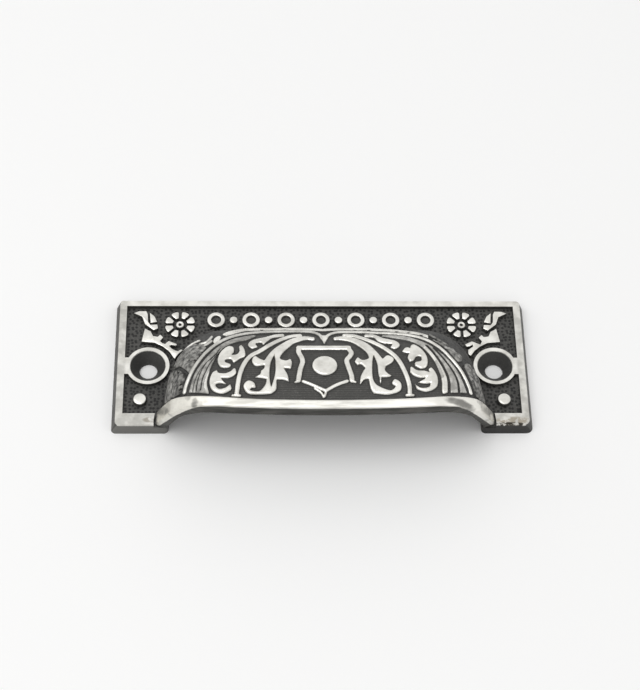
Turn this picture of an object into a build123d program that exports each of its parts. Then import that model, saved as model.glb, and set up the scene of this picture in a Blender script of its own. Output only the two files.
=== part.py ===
from build123d import *
from math import cos, radians, tan
import os

os.makedirs("parts", exist_ok=True)

# A cast bin pull: a flat plate that is screwed to the drawer front, and a hood that the fingers reach under.
# Frame: +Z away from the drawer front, origin midway between the screw holes on the back face.
# The hood opens towards -Y, and the longest side lies along X.

# Backplate
plate_length = 106.6
plate_width = 38.4
plate_thickness = 3.5
plate_corner = 1.8
end_draft = 1.15
side_draft = 0.5
plate_edge_bevel = 0.3
ground_depth = 1.25
side_border = 1.75
top_border = 1.7
bottom_border = 3.4

# Screw holes, for a countersunk wood screw, in round bosses joined to the end borders
hole_spacing = 88.9
hole_drop = 1.2
hole_radius = 2.3
countersink_radius = 4.6
countersink_angle = 82
boss_radius = 5.5
bridge_width = 4.9

# Hood: turned about a line along X that lies below the plate's face, and cast a little to the right
hood_width = 85.1
hood_shift = 0.65
hood_radius = 28.5
axis_below_face = 8.0
hood_corner = 14.0
leg_slope = 15.4
wall = 2.2
relief = 0.7

# Lip: the polished front edge of the hood, bowed in plan and leaning forward
lip_overhang = 0.9
lip_bow = 1.73
lip_lean = 15.4
lip_width = 2.7
foot_round = 1.2

# Ornament on the plate
ring_count = 7
ring_pitch = 9.08
ring_radius = 2.25
ring_bore = 1.25
ring_inset = 6.3
pearl_radius = 0.98
rosette_radius = 3.9
rosette_core = 1.7
rosette_hub = 1.1
rosette_pin = 0.4
rosette_inset_x = 16.75
rosette_inset_y = 7.8
button_radius = 1.75
button_inset_x = 7.1
button_inset_y = 8.2
round_sides = 12

# The carving was drawn on a hood 85.1 wide and is stretched with the hood
carving_width = 85.1
stem_width = 1.05
rope_width = 0.95
groove_width = 0.4
bead_radius = 3.0
bead_drop = 13.3

half_length = plate_length / 2
half_face = half_length - end_draft
half_width = plate_width / 2
half_hood = hood_width / 2
lip_front = -half_width - lip_overhang
axis_y = -half_width + 0.8
lean = tan(radians(lip_lean))
slope = radians(leg_slope)
spread = hood_width / carving_width
hood_rise = hood_radius - axis_below_face
above = plate_thickness + hood_rise + 5


def level(height):
    """A plane at a height over the back face, centred on the plate."""
    return Plane(origin=(0, hole_drop, height))


def drum(depth):
    """The hood's turned form, with its surface moved inwards by depth."""
    foot = half_hood - depth / cos(slope)
    crown = foot - (hood_radius - depth - axis_below_face) * tan(slope)
    centre = (hood_shift, hole_drop + axis_y, plate_thickness - axis_below_face)
    with BuildPart() as turned:
        with BuildSketch(Plane(origin=centre, x_dir=(1, 0, 0), z_dir=(0, -1, 0))) as meridian:
            with BuildLine():
                Polyline(
                    (-foot, 0),
                    (foot, 0),
                    (foot, axis_below_face),
                    (crown, hood_radius - depth),
                    (-crown, hood_radius - depth),
                    (-foot, axis_below_face),
                    close=True,
                )
            make_face()
            fillet(meridian.vertices().group_by(Axis.Y)[-1], radius=hood_corner - depth)
        revolve(axis=Axis(centre, (1, 0, 0)))
    return turned.part


def lip_slab(near, far):
    """A slab that follows the lip's bow and lean, between two distances behind its front face."""
    reach = half_hood + hood_shift + foot_round
    bow = lip_bow * (reach / half_hood) ** 2
    shear = Vector(0, -lean, 1)
    with BuildPart() as slab:
        with BuildSketch(level(-10)):
            with BuildLine(Location((0, lip_front + lean * (plate_thickness + 10)))):
                ThreePointArc((-reach, near + bow), (0, near), (reach, near + bow))
                Line((reach, near + bow), (reach, far + bow))
                ThreePointArc((reach, far + bow), (0, far), (-reach, far + bow))
                Line((-reach, far + bow), (-reach, near + bow))
            make_face()
        extrude(amount=(above + 10) * shear.length, dir=shear.normalized())
    return slab.part


def leaf(points):
    """A closed outline through the given points, cut as straight facets to keep the mesh light."""
    with BuildLine() as outline:
        Polyline(*[(x * spread, y) for x, y in points], close=True)
    make_face(outline.edges())


def stroke(points, width, mode=Mode.ADD):
    """A band of one width along a smooth line."""
    with BuildLine() as path:
        Spline(*[(x * spread, y) for x, y in points])
    trace(path.line, line_width=width, mode=mode)


# The turned solids that the hood is cut from
ground_drum = drum(relief)
top_drum = drum(0)


def shield():
    """The centre of the carving: a waisted shield with a bead, its frame open at the sides of the foot."""
    stroke([(-6.3, -7.0), (0, -7.0), (5.9, -7.0)], 1.35)
    stroke([(-6.3, -6.9), (-6.4, -8.6), (-5.7, -10.6), (-5.5, -12.2), (-6.1, -14.6), (-6.6, -17.9)], 1.15)
    stroke([(5.7, -6.9), (6.5, -8.8), (6.1, -10.2), (5.3, -11.6), (5.7, -14), (6.3, -16.4), (6.4, -17.9)], 1.15)
    stroke([(-5.4, -18.2), (-3.2, -19.2), (0, -20.8)], 0.75)
    stroke([(5.2, -18.1), (2.6, -19.2), (0, -20.8)], 0.75)
    stroke([(-2.2, -20.7), (-1.1, -21.5), (-0.5, -22.5)], 0.45)
    with Locations((-0.1, -bead_drop)):
        Circle(bead_radius)


def drapery():
    """The rope that hangs from a point at the middle and runs down both sides of the hood."""
    stroke(
        [(0.4, -3.0), (1.2, -0.9), (3.3, 0.7), (6, 1.0), (10, 0.85), (14, 0.35), (18, -0.1), (21, -0.9),
         (24.5, -2.7), (28, -6.0), (31, -9.8), (33.6, -13.5), (35.3, -17.2), (35.8, -19.0)],
        rope_width,
    )
    stroke(
        [(-0.3, -3.0), (-1.1, -0.7), (-2.9, 1.0), (-5, 1.4), (-9, 1.4), (-13, 1.15), (-16.5, 0.7), (-20, -0.4),
         (-23.6, -2.5), (-27.1, -5.9), (-29.9, -9.4), (-32.3, -13.4), (-33.9, -17.4), (-34.4, -19.6)],
        rope_width,
    )
    leaf([(-0.75, -1.6), (0, -5.3), (0.6, -3.4), (0.85, -1.6)])


def right_carving():
    """The leaves to the right of the shield."""
    # The forked leaf, with its slit open at the foot
    leaf(
        [(2.4, -2.5), (5, -2), (7.7, -2.9), (10.5, -5.2), (14.1, -11.2), (15.3, -10), (16.7, -10.9),
         (16.3, -12.3), (14.7, -13.5), (14.5, -14.8), (16, -16.6), (13.5, -16.9), (13.3, -19),
         (12.7, -12.6), (11.9, -9.3), (11.4, -16.8), (12.1, -18.9), (13.6, -20), (15.7, -20.7),
         (16.9, -19.6), (16.1, -18.8), (16.8, -17.6), (18.2, -18.7), (17.9, -20.8), (15, -21.8),
         (11.6, -21.5), (10.9, -20.2), (10.5, -17.4), (9.4, -17.6), (8.3, -19), (8.6, -16.6),
         (9.8, -14.1), (8.8, -12.9), (7.9, -13.1), (7.3, -12), (8, -10.6), (9.2, -11.6), (10.7, -10.9),
         (10.3, -8.8), (8.6, -6.4), (6.6, -4.4), (4, -3.4), (2.6, -3.4)]
    )
    # The stem between the two groups of leaves
    stroke(
        [(5.2, -1.1), (7.3, -1.4), (9, -2.4), (12, -4.6), (15, -7.4), (17.6, -10.8), (19.3, -15.2), (20.2, -19),
         (20.3, -21.8)],
        stem_width,
    )
    # The small curled leaf over the stem
    leaf(
        [(10.2, -1), (12.5, -1), (14.7, -2.8), (17.7, -4.2), (18.6, -5.9), (17.4, -7.3), (16.3, -6.8),
         (16.8, -5.3), (15, -5), (13.4, -4.1), (12.4, -2.2), (10.3, -1.9)]
    )
    # The upper scroll
    leaf(
        [(19.1, -8.4), (19.7, -7.3), (20.5, -7), (21.1, -7.3), (21.4, -6.1), (22.4, -5.9), (24, -7.8),
         (25, -10.5), (24.8, -13.4), (23.4, -14.3), (21.9, -13.4), (22.1, -12.3), (23.4, -11.9),
         (23.6, -10.4), (22.4, -10.2), (21.6, -11.6), (20.7, -12), (20.3, -10.6), (20.9, -8.9)]
    )
    # The lower scroll
    leaf(
        [(20.6, -15.4), (20.9, -13.8), (22.3, -14.9), (24.2, -15.1), (25.5, -15.6), (25.2, -14.6),
         (26, -14.2), (27.2, -16.8), (26.9, -19.6), (24.6, -21), (22.3, -20.5), (21.6, -19), (23, -20),
         (25, -19.8), (25.5, -18.6), (24, -18.8), (22.4, -18.5), (24.7, -16.9), (23, -17.1),
         (21.4, -16.4)]
    )
    # The sheaf of blades, parted by grooves
    leaf(
        [(14.3, -1.4), (17.5, -1.4), (21, -2.3), (25.4, -5.4), (29.7, -10.1), (32.6, -14.4),
         (34.6, -19.6), (31.5, -20.6), (28.3, -21.2), (28.2, -17.2), (26.8, -11.9), (24.4, -7),
         (21.2, -3.9)]
    )
    for blade_edge in (
        [(25.7, -6.3), (27.5, -10), (29.4, -13.2), (30.2, -16.5), (30.1, -20.9)],
        [(27.1, -7.4), (29.4, -10.8), (31.4, -14.2), (32.4, -17.2), (32.7, -20.4)],
    ):
        stroke(blade_edge, groove_width, Mode.SUBTRACT)
    # The leafy edge outside the rope
    leaf([(1.9, 2), (2.4, 3.4), (4, 4), (5.6, 3.6), (5.9, 2.2)])
    leaf([(6.8, 2.1), (7.1, 3.6), (8.4, 4.1), (9.9, 3.7), (10, 2.1)])
    leaf([(11.3, 1.9), (11.4, 3.1), (12.3, 3.6), (12.9, 2.8), (12.8, 1.8)])
    leaf([(13.8, 1.6), (14.2, 3), (15.8, 3.3), (17.9, 2.5), (17.7, 1.3)])
    leaf([(18.7, 0.9), (19.2, 1.9), (20.3, 2), (21.1, 1.4), (21, 0.3)])
    leaf([(21.7, 0), (22.3, 1), (23.9, 0.4), (23.7, -1.1)])


def left_carving():
    """The leaves to the left of the shield, which were cut a little wider than the right ones."""
    # The forked leaf, with its slit closed at the foot
    leaf(
        [(-2.3, -2.6), (-5, -2), (-8, -3.2), (-11, -6), (-13.2, -8.7), (-14.8, -11.8), (-17.1, -10.3),
         (-17.8, -11.8), (-16.9, -13.4), (-14.7, -13.2), (-14.8, -14.2), (-15.6, -15.2),
         (-15.8, -16.1), (-17, -17), (-14.2, -17.5), (-14.6, -19.2), (-16, -20.9), (-18.2, -20.7),
         (-17.9, -20), (-17, -19.9), (-17.3, -18.6), (-18.7, -18), (-19.8, -19.4), (-18.8, -21.5),
         (-16, -21.8), (-13.2, -21.6), (-12, -20.4), (-11.9, -17.6), (-10.2, -17.7), (-8.9, -18.2),
         (-9.2, -16.3), (-10.2, -14.1), (-8.4, -14.3), (-8.1, -12.5), (-8.4, -11.2), (-9.6, -11.8),
         (-11, -11), (-10.3, -8.9), (-7.3, -4.9), (-4.6, -3.4), (-2.6, -3.6)]
    )
    stroke([(-12.5, -9.6), (-12.7, -12), (-12.7, -16), (-13.1, -19.5)], 1.0, Mode.SUBTRACT)
    # The stem between the two groups of leaves
    stroke(
        [(-5.9, -1.3), (-8, -1.7), (-10.5, -3.3), (-13.3, -5.7), (-15.9, -8.3), (-18.3, -10.3), (-20, -13.5),
         (-21, -17.5), (-21.5, -22.1)],
        stem_width,
    )
    # The small curled leaf over the stem
    leaf(
        [(-9.9, -0.7), (-12, -1), (-17.6, -3.8), (-18.8, -5.6), (-17.9, -7.2), (-16.5, -6.7),
         (-17, -5.2), (-15.6, -4.7), (-15, -5.6), (-12.6, -2.3), (-10.1, -1.7)]
    )
    # The upper scroll
    leaf(
        [(-21, -6.6), (-20.5, -6.1), (-19.8, -7.3), (-19.5, -10), (-22.2, -12.4), (-23, -11.2),
         (-24.4, -11.5), (-24.2, -12.4), (-23, -13.1), (-23.6, -14), (-25.4, -13.8), (-26.2, -11.6),
         (-25.4, -8.6), (-23.7, -6.6), (-22.4, -7), (-22.3, -8.6), (-22.8, -9.8), (-21.6, -9.7),
         (-20.9, -8.4)]
    )
    # The lower scroll
    leaf(
        [(-23, -15.3), (-22, -14.3), (-21.7, -15.8), (-23.2, -17.1), (-25.4, -17.2), (-24, -19),
         (-25.4, -18.7), (-26.7, -19.1), (-25.8, -20.3), (-24.2, -20), (-23, -19), (-22.9, -20.5),
         (-25, -21.6), (-27.3, -20.7), (-28.1, -18.4), (-27.5, -15.8), (-26.3, -14.9), (-25.9, -15.7),
         (-24.3, -15.9)]
    )
    # The sheaf of blades, parted by grooves
    leaf(
        [(-16.8, -1.3), (-20, -2.2), (-23.4, -4), (-26.4, -7), (-29.3, -11), (-31.8, -15.2),
         (-33.2, -20.1), (-28.3, -21.5), (-28.9, -17.9), (-27.5, -12.6), (-25.4, -7.8), (-22.5, -4.9),
         (-19, -3.4)]
    )
    for blade_edge in (
        [(-26.2, -8.0), (-28.2, -11.8), (-29.7, -15), (-30.3, -18), (-30.2, -21.4)],
        [(-27.3, -8.6), (-29.5, -12.0), (-31.3, -15.6), (-31.9, -18.2), (-32.1, -20.9)],
    ):
        stroke(blade_edge, groove_width, Mode.SUBTRACT)
    # The leafy edge outside the rope
    leaf([(-2, 2.4), (-2.4, 3.6), (-4, 4.2), (-6, 3.7), (-6.1, 2.5)])
    leaf([(-7.2, 2.5), (-7.5, 3.7), (-8.8, 4), (-10.1, 3.6), (-10.2, 2.4)])
    leaf([(-11.4, 2.4), (-11.7, 3.5), (-12.8, 3.5), (-12.9, 2.2)])
    leaf([(-14, 2.1), (-14.3, 3.6), (-16.5, 4), (-18.7, 3), (-18.9, 1.2)])
    leaf([(-19.8, 0.9), (-20, 3), (-21.5, 3), (-22.6, 2.3), (-22.2, 0.8), (-21.4, 0.6)])
    leaf([(-22.8, -0.2), (-23.2, 1.9), (-25.6, 0.1), (-25, -1.4)])


def sprig():
    """The leaf spray over the left screw hole: a hooked leaf, a petal and a base that runs to the hood."""
    with BuildLine() as hook:
        Polyline(
            *place_sprig(
                (-48.6, 14.9), (-47.3, 15.5), (-45.4, 15.5), (-45, 14.6), (-44.8, 12.2), (-44.2, 11.3),
                (-42.4, 11.4), (-42.2, 10.2), (-43.3, 9.6), (-45.6, 11.5), (-46.4, 13.8),
            ),
            close=True,
        )
    make_face(hook.edges())
    with BuildLine() as petal:
        Polyline(*place_sprig((-44.5, 15.1), (-43.2, 13.9), (-42.5, 12.2), (-44.2, 11.8)), close=True)
    make_face(petal.edges())
    with BuildLine() as base:
        Polyline(
            *place_sprig(
                (-45.6, 10.2), (-44, 9.2), (-43.4, 7.8), (-42.2, 7.6), (-41.6, 8.3), (-40.8, 7.4), (-41.6, 6.3),
                (-40.6, 5.3), (-39.5, 6.2), (-37.6, 5.1), (-39.2, 4.9), (-35.3, 3.6), (-36.5, 1.6),
                (-38.2, 2.3), (-40.5, 4.6), (-43, 5.9), (-46.3, 6.1),
            ),
            close=True,
        )
    make_face(base.edges())


def place_sprig(*points):
    """The spray keeps its place over the screw hole, and its stem keeps its place at the hood."""
    return [(x - (hole_spacing - 88.9) / 2, y) for x, y in points]


# Carving: drawn flat, as the moulder's pattern leaves the sand, and cut to the skin of the hood
with BuildPart() as carving:
    with BuildSketch(level(plate_thickness)):
        drapery()
        shield()
        right_carving()
        left_carving()
    extrude(amount=above)
    add(top_drum, mode=Mode.INTERSECT)
    add(drum(relief + 0.4), mode=Mode.SUBTRACT)

# The lip, which stands as high as the carving
with BuildPart() as lip:
    add(lip_slab(0, lip_width))
    add(top_drum, mode=Mode.INTERSECT)

# The hood as a full block, from just under the plate's face up to its lip
with BuildPart() as hood:
    add(ground_drum)
    add(carving.part)
    add(lip.part)
    split(bisect_by=level(plate_thickness - ground_depth), keep=Keep.TOP)
    add(lip_slab(-60, 0), mode=Mode.SUBTRACT)

with BuildPart() as bin_pull:
    # Plate with drafted sides and a sunk ground
    for height, end_inset, side_inset in (
        (0, 0, 0),
        (plate_thickness - plate_edge_bevel, end_draft, side_draft),
        (plate_thickness, end_draft + plate_edge_bevel, side_draft + plate_edge_bevel),
    ):
        with BuildSketch(level(height)) as outline:
            Rectangle(plate_length - 2 * end_inset, plate_width - 2 * side_inset)
            fillet(outline.vertices(), radius=plate_corner)
    loft(ruled=True)
    with BuildSketch(level(plate_thickness)):
        with BuildLine():
            Polyline(
                (-half_face + side_border, half_width - side_draft - top_border),
                (half_face - side_border, half_width - side_draft - top_border),
                (half_face - side_border, -half_width + side_draft + bottom_border),
                (-half_face + side_border, -half_width + side_draft + bottom_border),
                close=True,
            )
        make_face()
    extrude(amount=-ground_depth, mode=Mode.SUBTRACT)

    # Ornament that stands on the ground, as high as the borders
    floor = plate_thickness - ground_depth
    row = half_width - ring_inset
    gap_count = ring_count - 1
    with BuildSketch(level(floor)):
        with Locations((0, row)):
            with GridLocations(ring_pitch, 1, ring_count, 1):
                RegularPolygon(ring_radius, round_sides)
                RegularPolygon(ring_bore, round_sides, mode=Mode.SUBTRACT)
            with GridLocations(ring_pitch, 1, gap_count, 1):
                RegularPolygon(pearl_radius, round_sides)
        for side in (-1, 1):
            with Locations((side * (half_length - button_inset_x), -half_width + button_inset_y)):
                RegularPolygon(button_radius, round_sides)
            with Locations((side * (half_length - rosette_inset_x), half_width - rosette_inset_y)):
                RegularPolygon(rosette_hub, round_sides)
                RegularPolygon(rosette_pin, round_sides // 2, mode=Mode.SUBTRACT)
                with PolarLocations(rosette_core, 8, start_angle=22.5):
                    petal = rosette_radius - rosette_core
                    with Locations((petal / 2, 0)):
                        Trapezoid(petal * 0.98, petal * 0.9, 70, rotation=90)
        sprig()
        mirror(about=Plane.YZ)
    extrude(amount=ground_depth)

    # Bosses round the screw holes, joined to the end borders
    with BuildSketch(level(floor)):
        for side in (-1, 1):
            with Locations((side * hole_spacing / 2, -hole_drop)):
                Circle(boss_radius)
            bridge = half_face - side_border / 2 - hole_spacing / 2
            with Locations((side * (hole_spacing / 2 + bridge / 2), -hole_drop)):
                Rectangle(bridge, bridge_width)
    extrude(amount=ground_depth)

    # Hood and lip, then the hollow that passes right through the plate
    add(hood.part)
    add(drum(relief + wall), mode=Mode.SUBTRACT)

    # Rounded inner corners of the two feet beside the mouth
    mouth = half_hood - (relief + wall) / cos(slope)
    with BuildSketch(level(0)):
        for side in (-1, 1):
            with Locations((hood_shift + side * (mouth + foot_round / 2), -half_width + foot_round / 2)):
                Rectangle(foot_round, foot_round)
            with Locations((hood_shift + side * (mouth + foot_round), -half_width + foot_round)):
                Circle(foot_round, mode=Mode.SUBTRACT)
    extrude(amount=plate_thickness, mode=Mode.SUBTRACT)

    with Locations(level(plate_thickness)):
        with GridLocations(hole_spacing, 1, 2, 1):
            with Locations((0, -hole_drop)):
                CounterSinkHole(hole_radius, countersink_radius, counter_sink_angle=countersink_angle)

bin_pull.part.label = "bin_pull"
export_step(bin_pull.part, "parts/bin_pull.step")
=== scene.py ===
"""A cast bin pull: backplate, hood, lip, carving and plate ornament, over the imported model's frame."""

from math import acos, asin, atan, cos, degrees, hypot, pi, radians, sin, tan

import bpy
import numpy as np
from mathutils import Matrix, Vector


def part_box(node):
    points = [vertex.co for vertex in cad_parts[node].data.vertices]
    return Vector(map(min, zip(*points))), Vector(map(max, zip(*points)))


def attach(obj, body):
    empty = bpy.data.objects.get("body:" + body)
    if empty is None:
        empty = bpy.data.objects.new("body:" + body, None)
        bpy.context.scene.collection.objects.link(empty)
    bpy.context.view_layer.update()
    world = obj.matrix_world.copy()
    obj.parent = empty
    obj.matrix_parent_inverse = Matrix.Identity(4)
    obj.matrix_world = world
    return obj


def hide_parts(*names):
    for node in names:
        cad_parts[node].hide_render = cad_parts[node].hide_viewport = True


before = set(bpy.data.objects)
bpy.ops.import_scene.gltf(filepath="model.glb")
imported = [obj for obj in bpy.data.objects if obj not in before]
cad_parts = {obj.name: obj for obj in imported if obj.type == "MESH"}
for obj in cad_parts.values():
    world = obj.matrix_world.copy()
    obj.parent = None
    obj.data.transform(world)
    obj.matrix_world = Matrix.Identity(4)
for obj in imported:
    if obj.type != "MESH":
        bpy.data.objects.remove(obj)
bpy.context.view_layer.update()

bl_info = {
    "name": "Cast bin pull",
    "version": (1, 0, 0),
    "blender": (4, 5, 0),
    "location": "3D View > Sidebar > Bin pull",
    "description": "Models a cast drawer pull with a carved hood on a stippled backplate",
    "category": "Add Mesh",
}

NODE = "bin_pull"
MM = 0.001
MERGE = 0.01 * MM

# Places in millimetres, from the middle of the plate's top face, as the carving was drawn
HOLE_DROP = 1.2
FAR_CORNER = Vector(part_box(NODE)[1]) / MM
HALF_LENGTH = FAR_CORNER.x
THICKNESS = 3.5
HALF_WIDTH = FAR_CORNER.y - HOLE_DROP


class BinPullSettings(bpy.types.PropertyGroup):
    """Sizes and colours that a user would change."""

    ground_depth: bpy.props.FloatProperty(
        name="Ground depth", description="How far the stippled ground is sunk",
        default=1.25 * MM, unit="LENGTH", precision=5,
    )
    relief: bpy.props.FloatProperty(
        name="Relief", description="Height of the carving over the hood's ground",
        default=0.7 * MM, unit="LENGTH", precision=5,
    )
    wall: bpy.props.FloatProperty(
        name="Hood wall", description="Wall of the hood under its ground",
        default=2.2 * MM, unit="LENGTH", precision=5,
    )
    shoulder: bpy.props.FloatProperty(
        name="Worn shoulder", description="Width of the rounded edge of the carving",
        default=0.22 * MM, unit="LENGTH", precision=5,
    )
    bright: bpy.props.FloatVectorProperty(
        name="Rubbed metal", description="Colour of the rubbed high places", subtype="COLOR",
        size=4, min=0, max=1, default=(0.92, 0.905, 0.85, 1),
    )
    dark: bpy.props.FloatVectorProperty(
        name="Patina", description="Colour of the dark hollows", subtype="COLOR",
        size=4, min=0, max=1, default=(0.062, 0.061, 0.057, 1),
    )
    floor: bpy.props.FloatVectorProperty(
        name="Floor", description="Colour of the floor", subtype="COLOR",
        size=4, min=0, max=1, default=(0.975, 0.975, 0.97, 1),
    )


# Hood

# The axis of the drum that the hood is part of, and its measures
AXIS_Y = -18.4
AXIS_Z = -8.0
RADIUS = 28.5
HALF_HOOD = 42.55
SHIFT = 0.65
CORNER = 14.0
LEG_SLOPE = {-1: radians(19), 1: radians(21)}
THIN_WALL = 0.8
# How far from the axis the legs start, at the plate's back
LEG_START = 5.4
# The hood that the carving was drawn on, and how far up the picture a millimetre of height moves a place
DRAWN_HALF = 41.9
DRAWN_SLOPE = radians(15.4)
DRAWN_LIFT = 0.638
DRAWN_MIDDLE = 20
# The lip at the hood's mouth
LEAN = tan(radians(15.4))
LIP_FRONT = -20.1
LIP_BOW = 1.73
LIP_WIDTH = 2.7
LIP_TOP = 2.35
LIP_FLARE = {-1: 1.0, 1: 0.65}
FLARE_REACH = 36
FLARE_MOST = 1.1
LIP_DEEPER = 0.4
LIP_GAP = 0.35
PLUMB = 0.276
FOOT_Z = -3.3


def settings():
    """The sizes and colours chosen in the panel."""
    return bpy.context.scene.bin_pull


def chosen_size(name):
    """A size chosen in the panel, in millimetres."""
    return getattr(settings(), name) / MM


def corner_start(half, slope):
    """How far out the rounded corner of the hood's section starts."""
    return half - (RADIUS + AXIS_Z) * tan(slope) - CORNER * tan(pi / 4 - slope / 2)


def section(side, part, share, depth):
    """A point (x, distance from the axis) of half the hood's section, depth under its highest surface.

    Part is "leg" from the plate's back up, "corner" or "crown", and share runs from 0 to 1 along it."""
    slope = LEG_SLOPE[side]
    start = corner_start(HALF_HOOD, slope)
    bend = CORNER - depth
    top = RADIUS - CORNER + bend * sin(slope)
    if part == "leg":
        radius = LEG_START + share * (top - LEG_START)
        return HALF_HOOD - depth / cos(slope) - max(radius + AXIS_Z, 0) * tan(slope), radius
    if part == "corner":
        angle = slope + (pi / 2 - slope) * share
        return start + bend * cos(angle), RADIUS - CORNER + bend * sin(angle)
    return start * (1 - share), RADIUS - depth


def wall_at(part, share, deep):
    """The depth of the hood's inside: the wall thins from the crown over the corners to the legs."""
    thin = deep * THIN_WALL
    if part == "leg":
        return thin
    return thin + (deep - thin) * (share if part == "corner" else 1)


def stations(leg, corner, crown):
    """Places along the hood from one foot to the other, as (side, part, share)."""
    half = [("leg", k / leg) for k in range(leg)]
    half += [("corner", k / corner) for k in range(corner)]
    half += [("crown", k / crown) for k in range(crown)]
    line = [(1, *place) for place in half] + [(1, "crown", 1.0)]
    return line + [(-1, *place) for place in reversed(half)]


def lip_line(side, x):
    """How far forward the lip's front stands at the height of the plate's face."""
    return LIP_FRONT + LIP_BOW * ((SHIFT + side * x) / HALF_HOOD) ** 2


def lip_width(x):
    """How wide the lip's polished top is at x from the hood's middle: wider at its ends."""
    flare = np.where(x > 0, LIP_FLARE[1], LIP_FLARE[-1])
    return LIP_TOP + flare * np.minimum(np.abs(x) / FLARE_REACH, FLARE_MOST) ** 4


def turn_at_back(side, x, radius, back):
    """The turn round the axis at which a circle meets the surface that lies back behind the lip's front."""
    reach = lip_line(side, x) + back - AXIS_Y - LEAN * AXIS_Z
    return atan(LEAN) + acos(max(-1.0, min(1.0, reach / (radius * hypot(1, LEAN)))))


def turn_at_height(radius, z):
    """The turn round the axis, at the back, at which a circle has a height."""
    return asin(max(-1.0, min(1.0, (z - AXIS_Z) / radius)))


def on_hood(side, x, radius, turn):
    """A point of the hood, from its section and its turn round the axis."""
    return SHIFT + side * x, AXIS_Y + radius * cos(turn), AXIS_Z + radius * sin(turn)


def hood_height(x, y, half, slope):
    """Height of the highest surface of a hood over places of the plan, x outwards from its middle."""
    corner = corner_start(half, slope)
    arch = RADIUS - CORNER + np.sqrt(np.clip(CORNER**2 - (x - corner) ** 2, 0, None))
    leg = -AXIS_Z + (half - x) / tan(slope)
    radius = np.where(x < corner, RADIUS, np.where(x < corner + CORNER * cos(slope), arch, leg))
    rise = np.clip(radius, 0, None) ** 2 - (y - AXIS_Y) ** 2
    return np.maximum(AXIS_Z + np.sqrt(np.clip(rise, 0, None)), 0)


def drawn_places(places):
    """Where places of the hood fall on the drawing, which was made on a hood with even, steep ends."""
    moved = places.copy()
    x, y = places.T
    drawn = hood_height(np.abs(x), y, DRAWN_HALF, DRAWN_SLOPE)
    for side in (-1, 1):
        gain = hood_height(side * (x - SHIFT), y, HALF_HOOD, LEG_SLOPE[side]) - drawn
        moved[:, 1] += DRAWN_LIFT * gain * (side * x > DRAWN_MIDDLE)
    return moved


def smooth(points, per=7):
    """A smooth line through the given points."""
    points = [Vector(point) for point in points]
    if len(points) < 3:
        return points
    line = [2 * points[0] - points[1]] + points + [2 * points[-1] - points[-2]]
    out = []
    for a, b, c, d in zip(line, line[1:], line[2:], line[3:]):
        for k in range(per):
            t = k / per
            out.append(
                b + 0.5 * t * ((c - a) + t * ((2 * a - 5 * b + 4 * c - d) + t * (3 * (b - c) + d - a)))
            )
    return out + [points[-1]]


def nearest(places, line):
    """Distance of each place of the plan to a line of points."""
    a = line[:-1]
    step = line[1:] - a
    size = np.maximum((step**2).sum(1), 1e-12)
    best = np.full(len(places), 1e9)
    for start in range(0, len(places), 4000):
        part = places[start : start + 4000, None, :] - a[None]
        share = np.clip((part * step[None]).sum(2) / size, 0, 1)
        gap = part - share[..., None] * step[None]
        best[start : start + 4000] = np.sqrt((gap**2).sum(2).min(1))
    return best


def inside(places, line):
    """Which places of the plan lie inside a closed line of points."""
    out = np.zeros(len(places), bool)
    for (x1, y1), (x2, y2) in zip(line, np.roll(line, -1, 0)):
        if y1 == y2:
            continue
        spans = (y1 > places[:, 1]) != (y2 > places[:, 1])
        out ^= spans & (places[:, 0] < (x2 - x1) * (places[:, 1] - y1) / (y2 - y1) + x1)
    return out


class Drawing:
    """How far each place of the plan lies inside the raised drawing, in mm, and outside it as a minus."""

    def __init__(self, places):
        self.places = places
        self.field = np.full(len(places), -3.0)
        self.tone = 1.0
        self.tones = np.ones(len(places))

    def near(self, line, reach):
        """The places that lie near enough to a line to be changed by it."""
        low, high = line.min(0) - reach, line.max(0) + reach
        return np.nonzero(((self.places > low) & (self.places < high)).all(1))[0]

    def raise_to(self, spots, depth):
        """Raises places to a depth inside an outline, and gives them the tone in use."""
        higher = depth > self.field[spots]
        self.field[spots[higher]] = depth[higher]
        self.tones[spots[higher]] = self.tone

    def outline(self, runs):
        """The places near a closed outline, and their depth in it. Its smooth runs meet at sharp corners."""
        line = []
        for run, following in zip(runs, runs[1:] + runs[:1]):
            line += smooth(run if run[-1] == following[0] else run + [following[0]])[:-1]
        line = np.array([tuple(point) for point in line])
        spots = self.near(line, 1.2)
        gap = nearest(self.places[spots], np.vstack([line, line[:1]]))
        return spots, np.where(inside(self.places[spots], line), gap, -gap)

    def band(self, points, width):
        """The places near a band along a smooth line, and their depth in it."""
        line = np.array([tuple(point) for point in smooth(points)])
        spots = self.near(line, 1.2 + width / 2)
        return spots, width / 2 - nearest(self.places[spots], line)

    def leaf(self, *runs):
        """Raises a closed outline."""
        self.raise_to(*self.outline(runs))

    def slit(self, *runs):
        """Sinks a closed outline into what is drawn so far."""
        spots, depth = self.outline(runs)
        self.field[spots] = np.minimum(self.field[spots], -depth)

    def stroke(self, points, width):
        """Raises a band along a smooth line."""
        self.raise_to(*self.band(points, width))

    def groove(self, points, width):
        """Sinks a band along a smooth line into what is drawn so far."""
        spots, depth = self.band(points, width)
        self.field[spots] = np.minimum(self.field[spots], -depth)

    def pits(self, width, *spots):
        """Sinks small pits."""
        for x, y in spots:
            self.groove([(x, y), (x + 0.25, y - 0.15)], width)

    def disc(self, x, y, radius):
        """Raises a disc."""
        spots = self.near(np.array([(x, y)]), radius + 1.2)
        self.raise_to(spots, radius - np.hypot(*(self.places[spots] - (x, y)).T))


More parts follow.
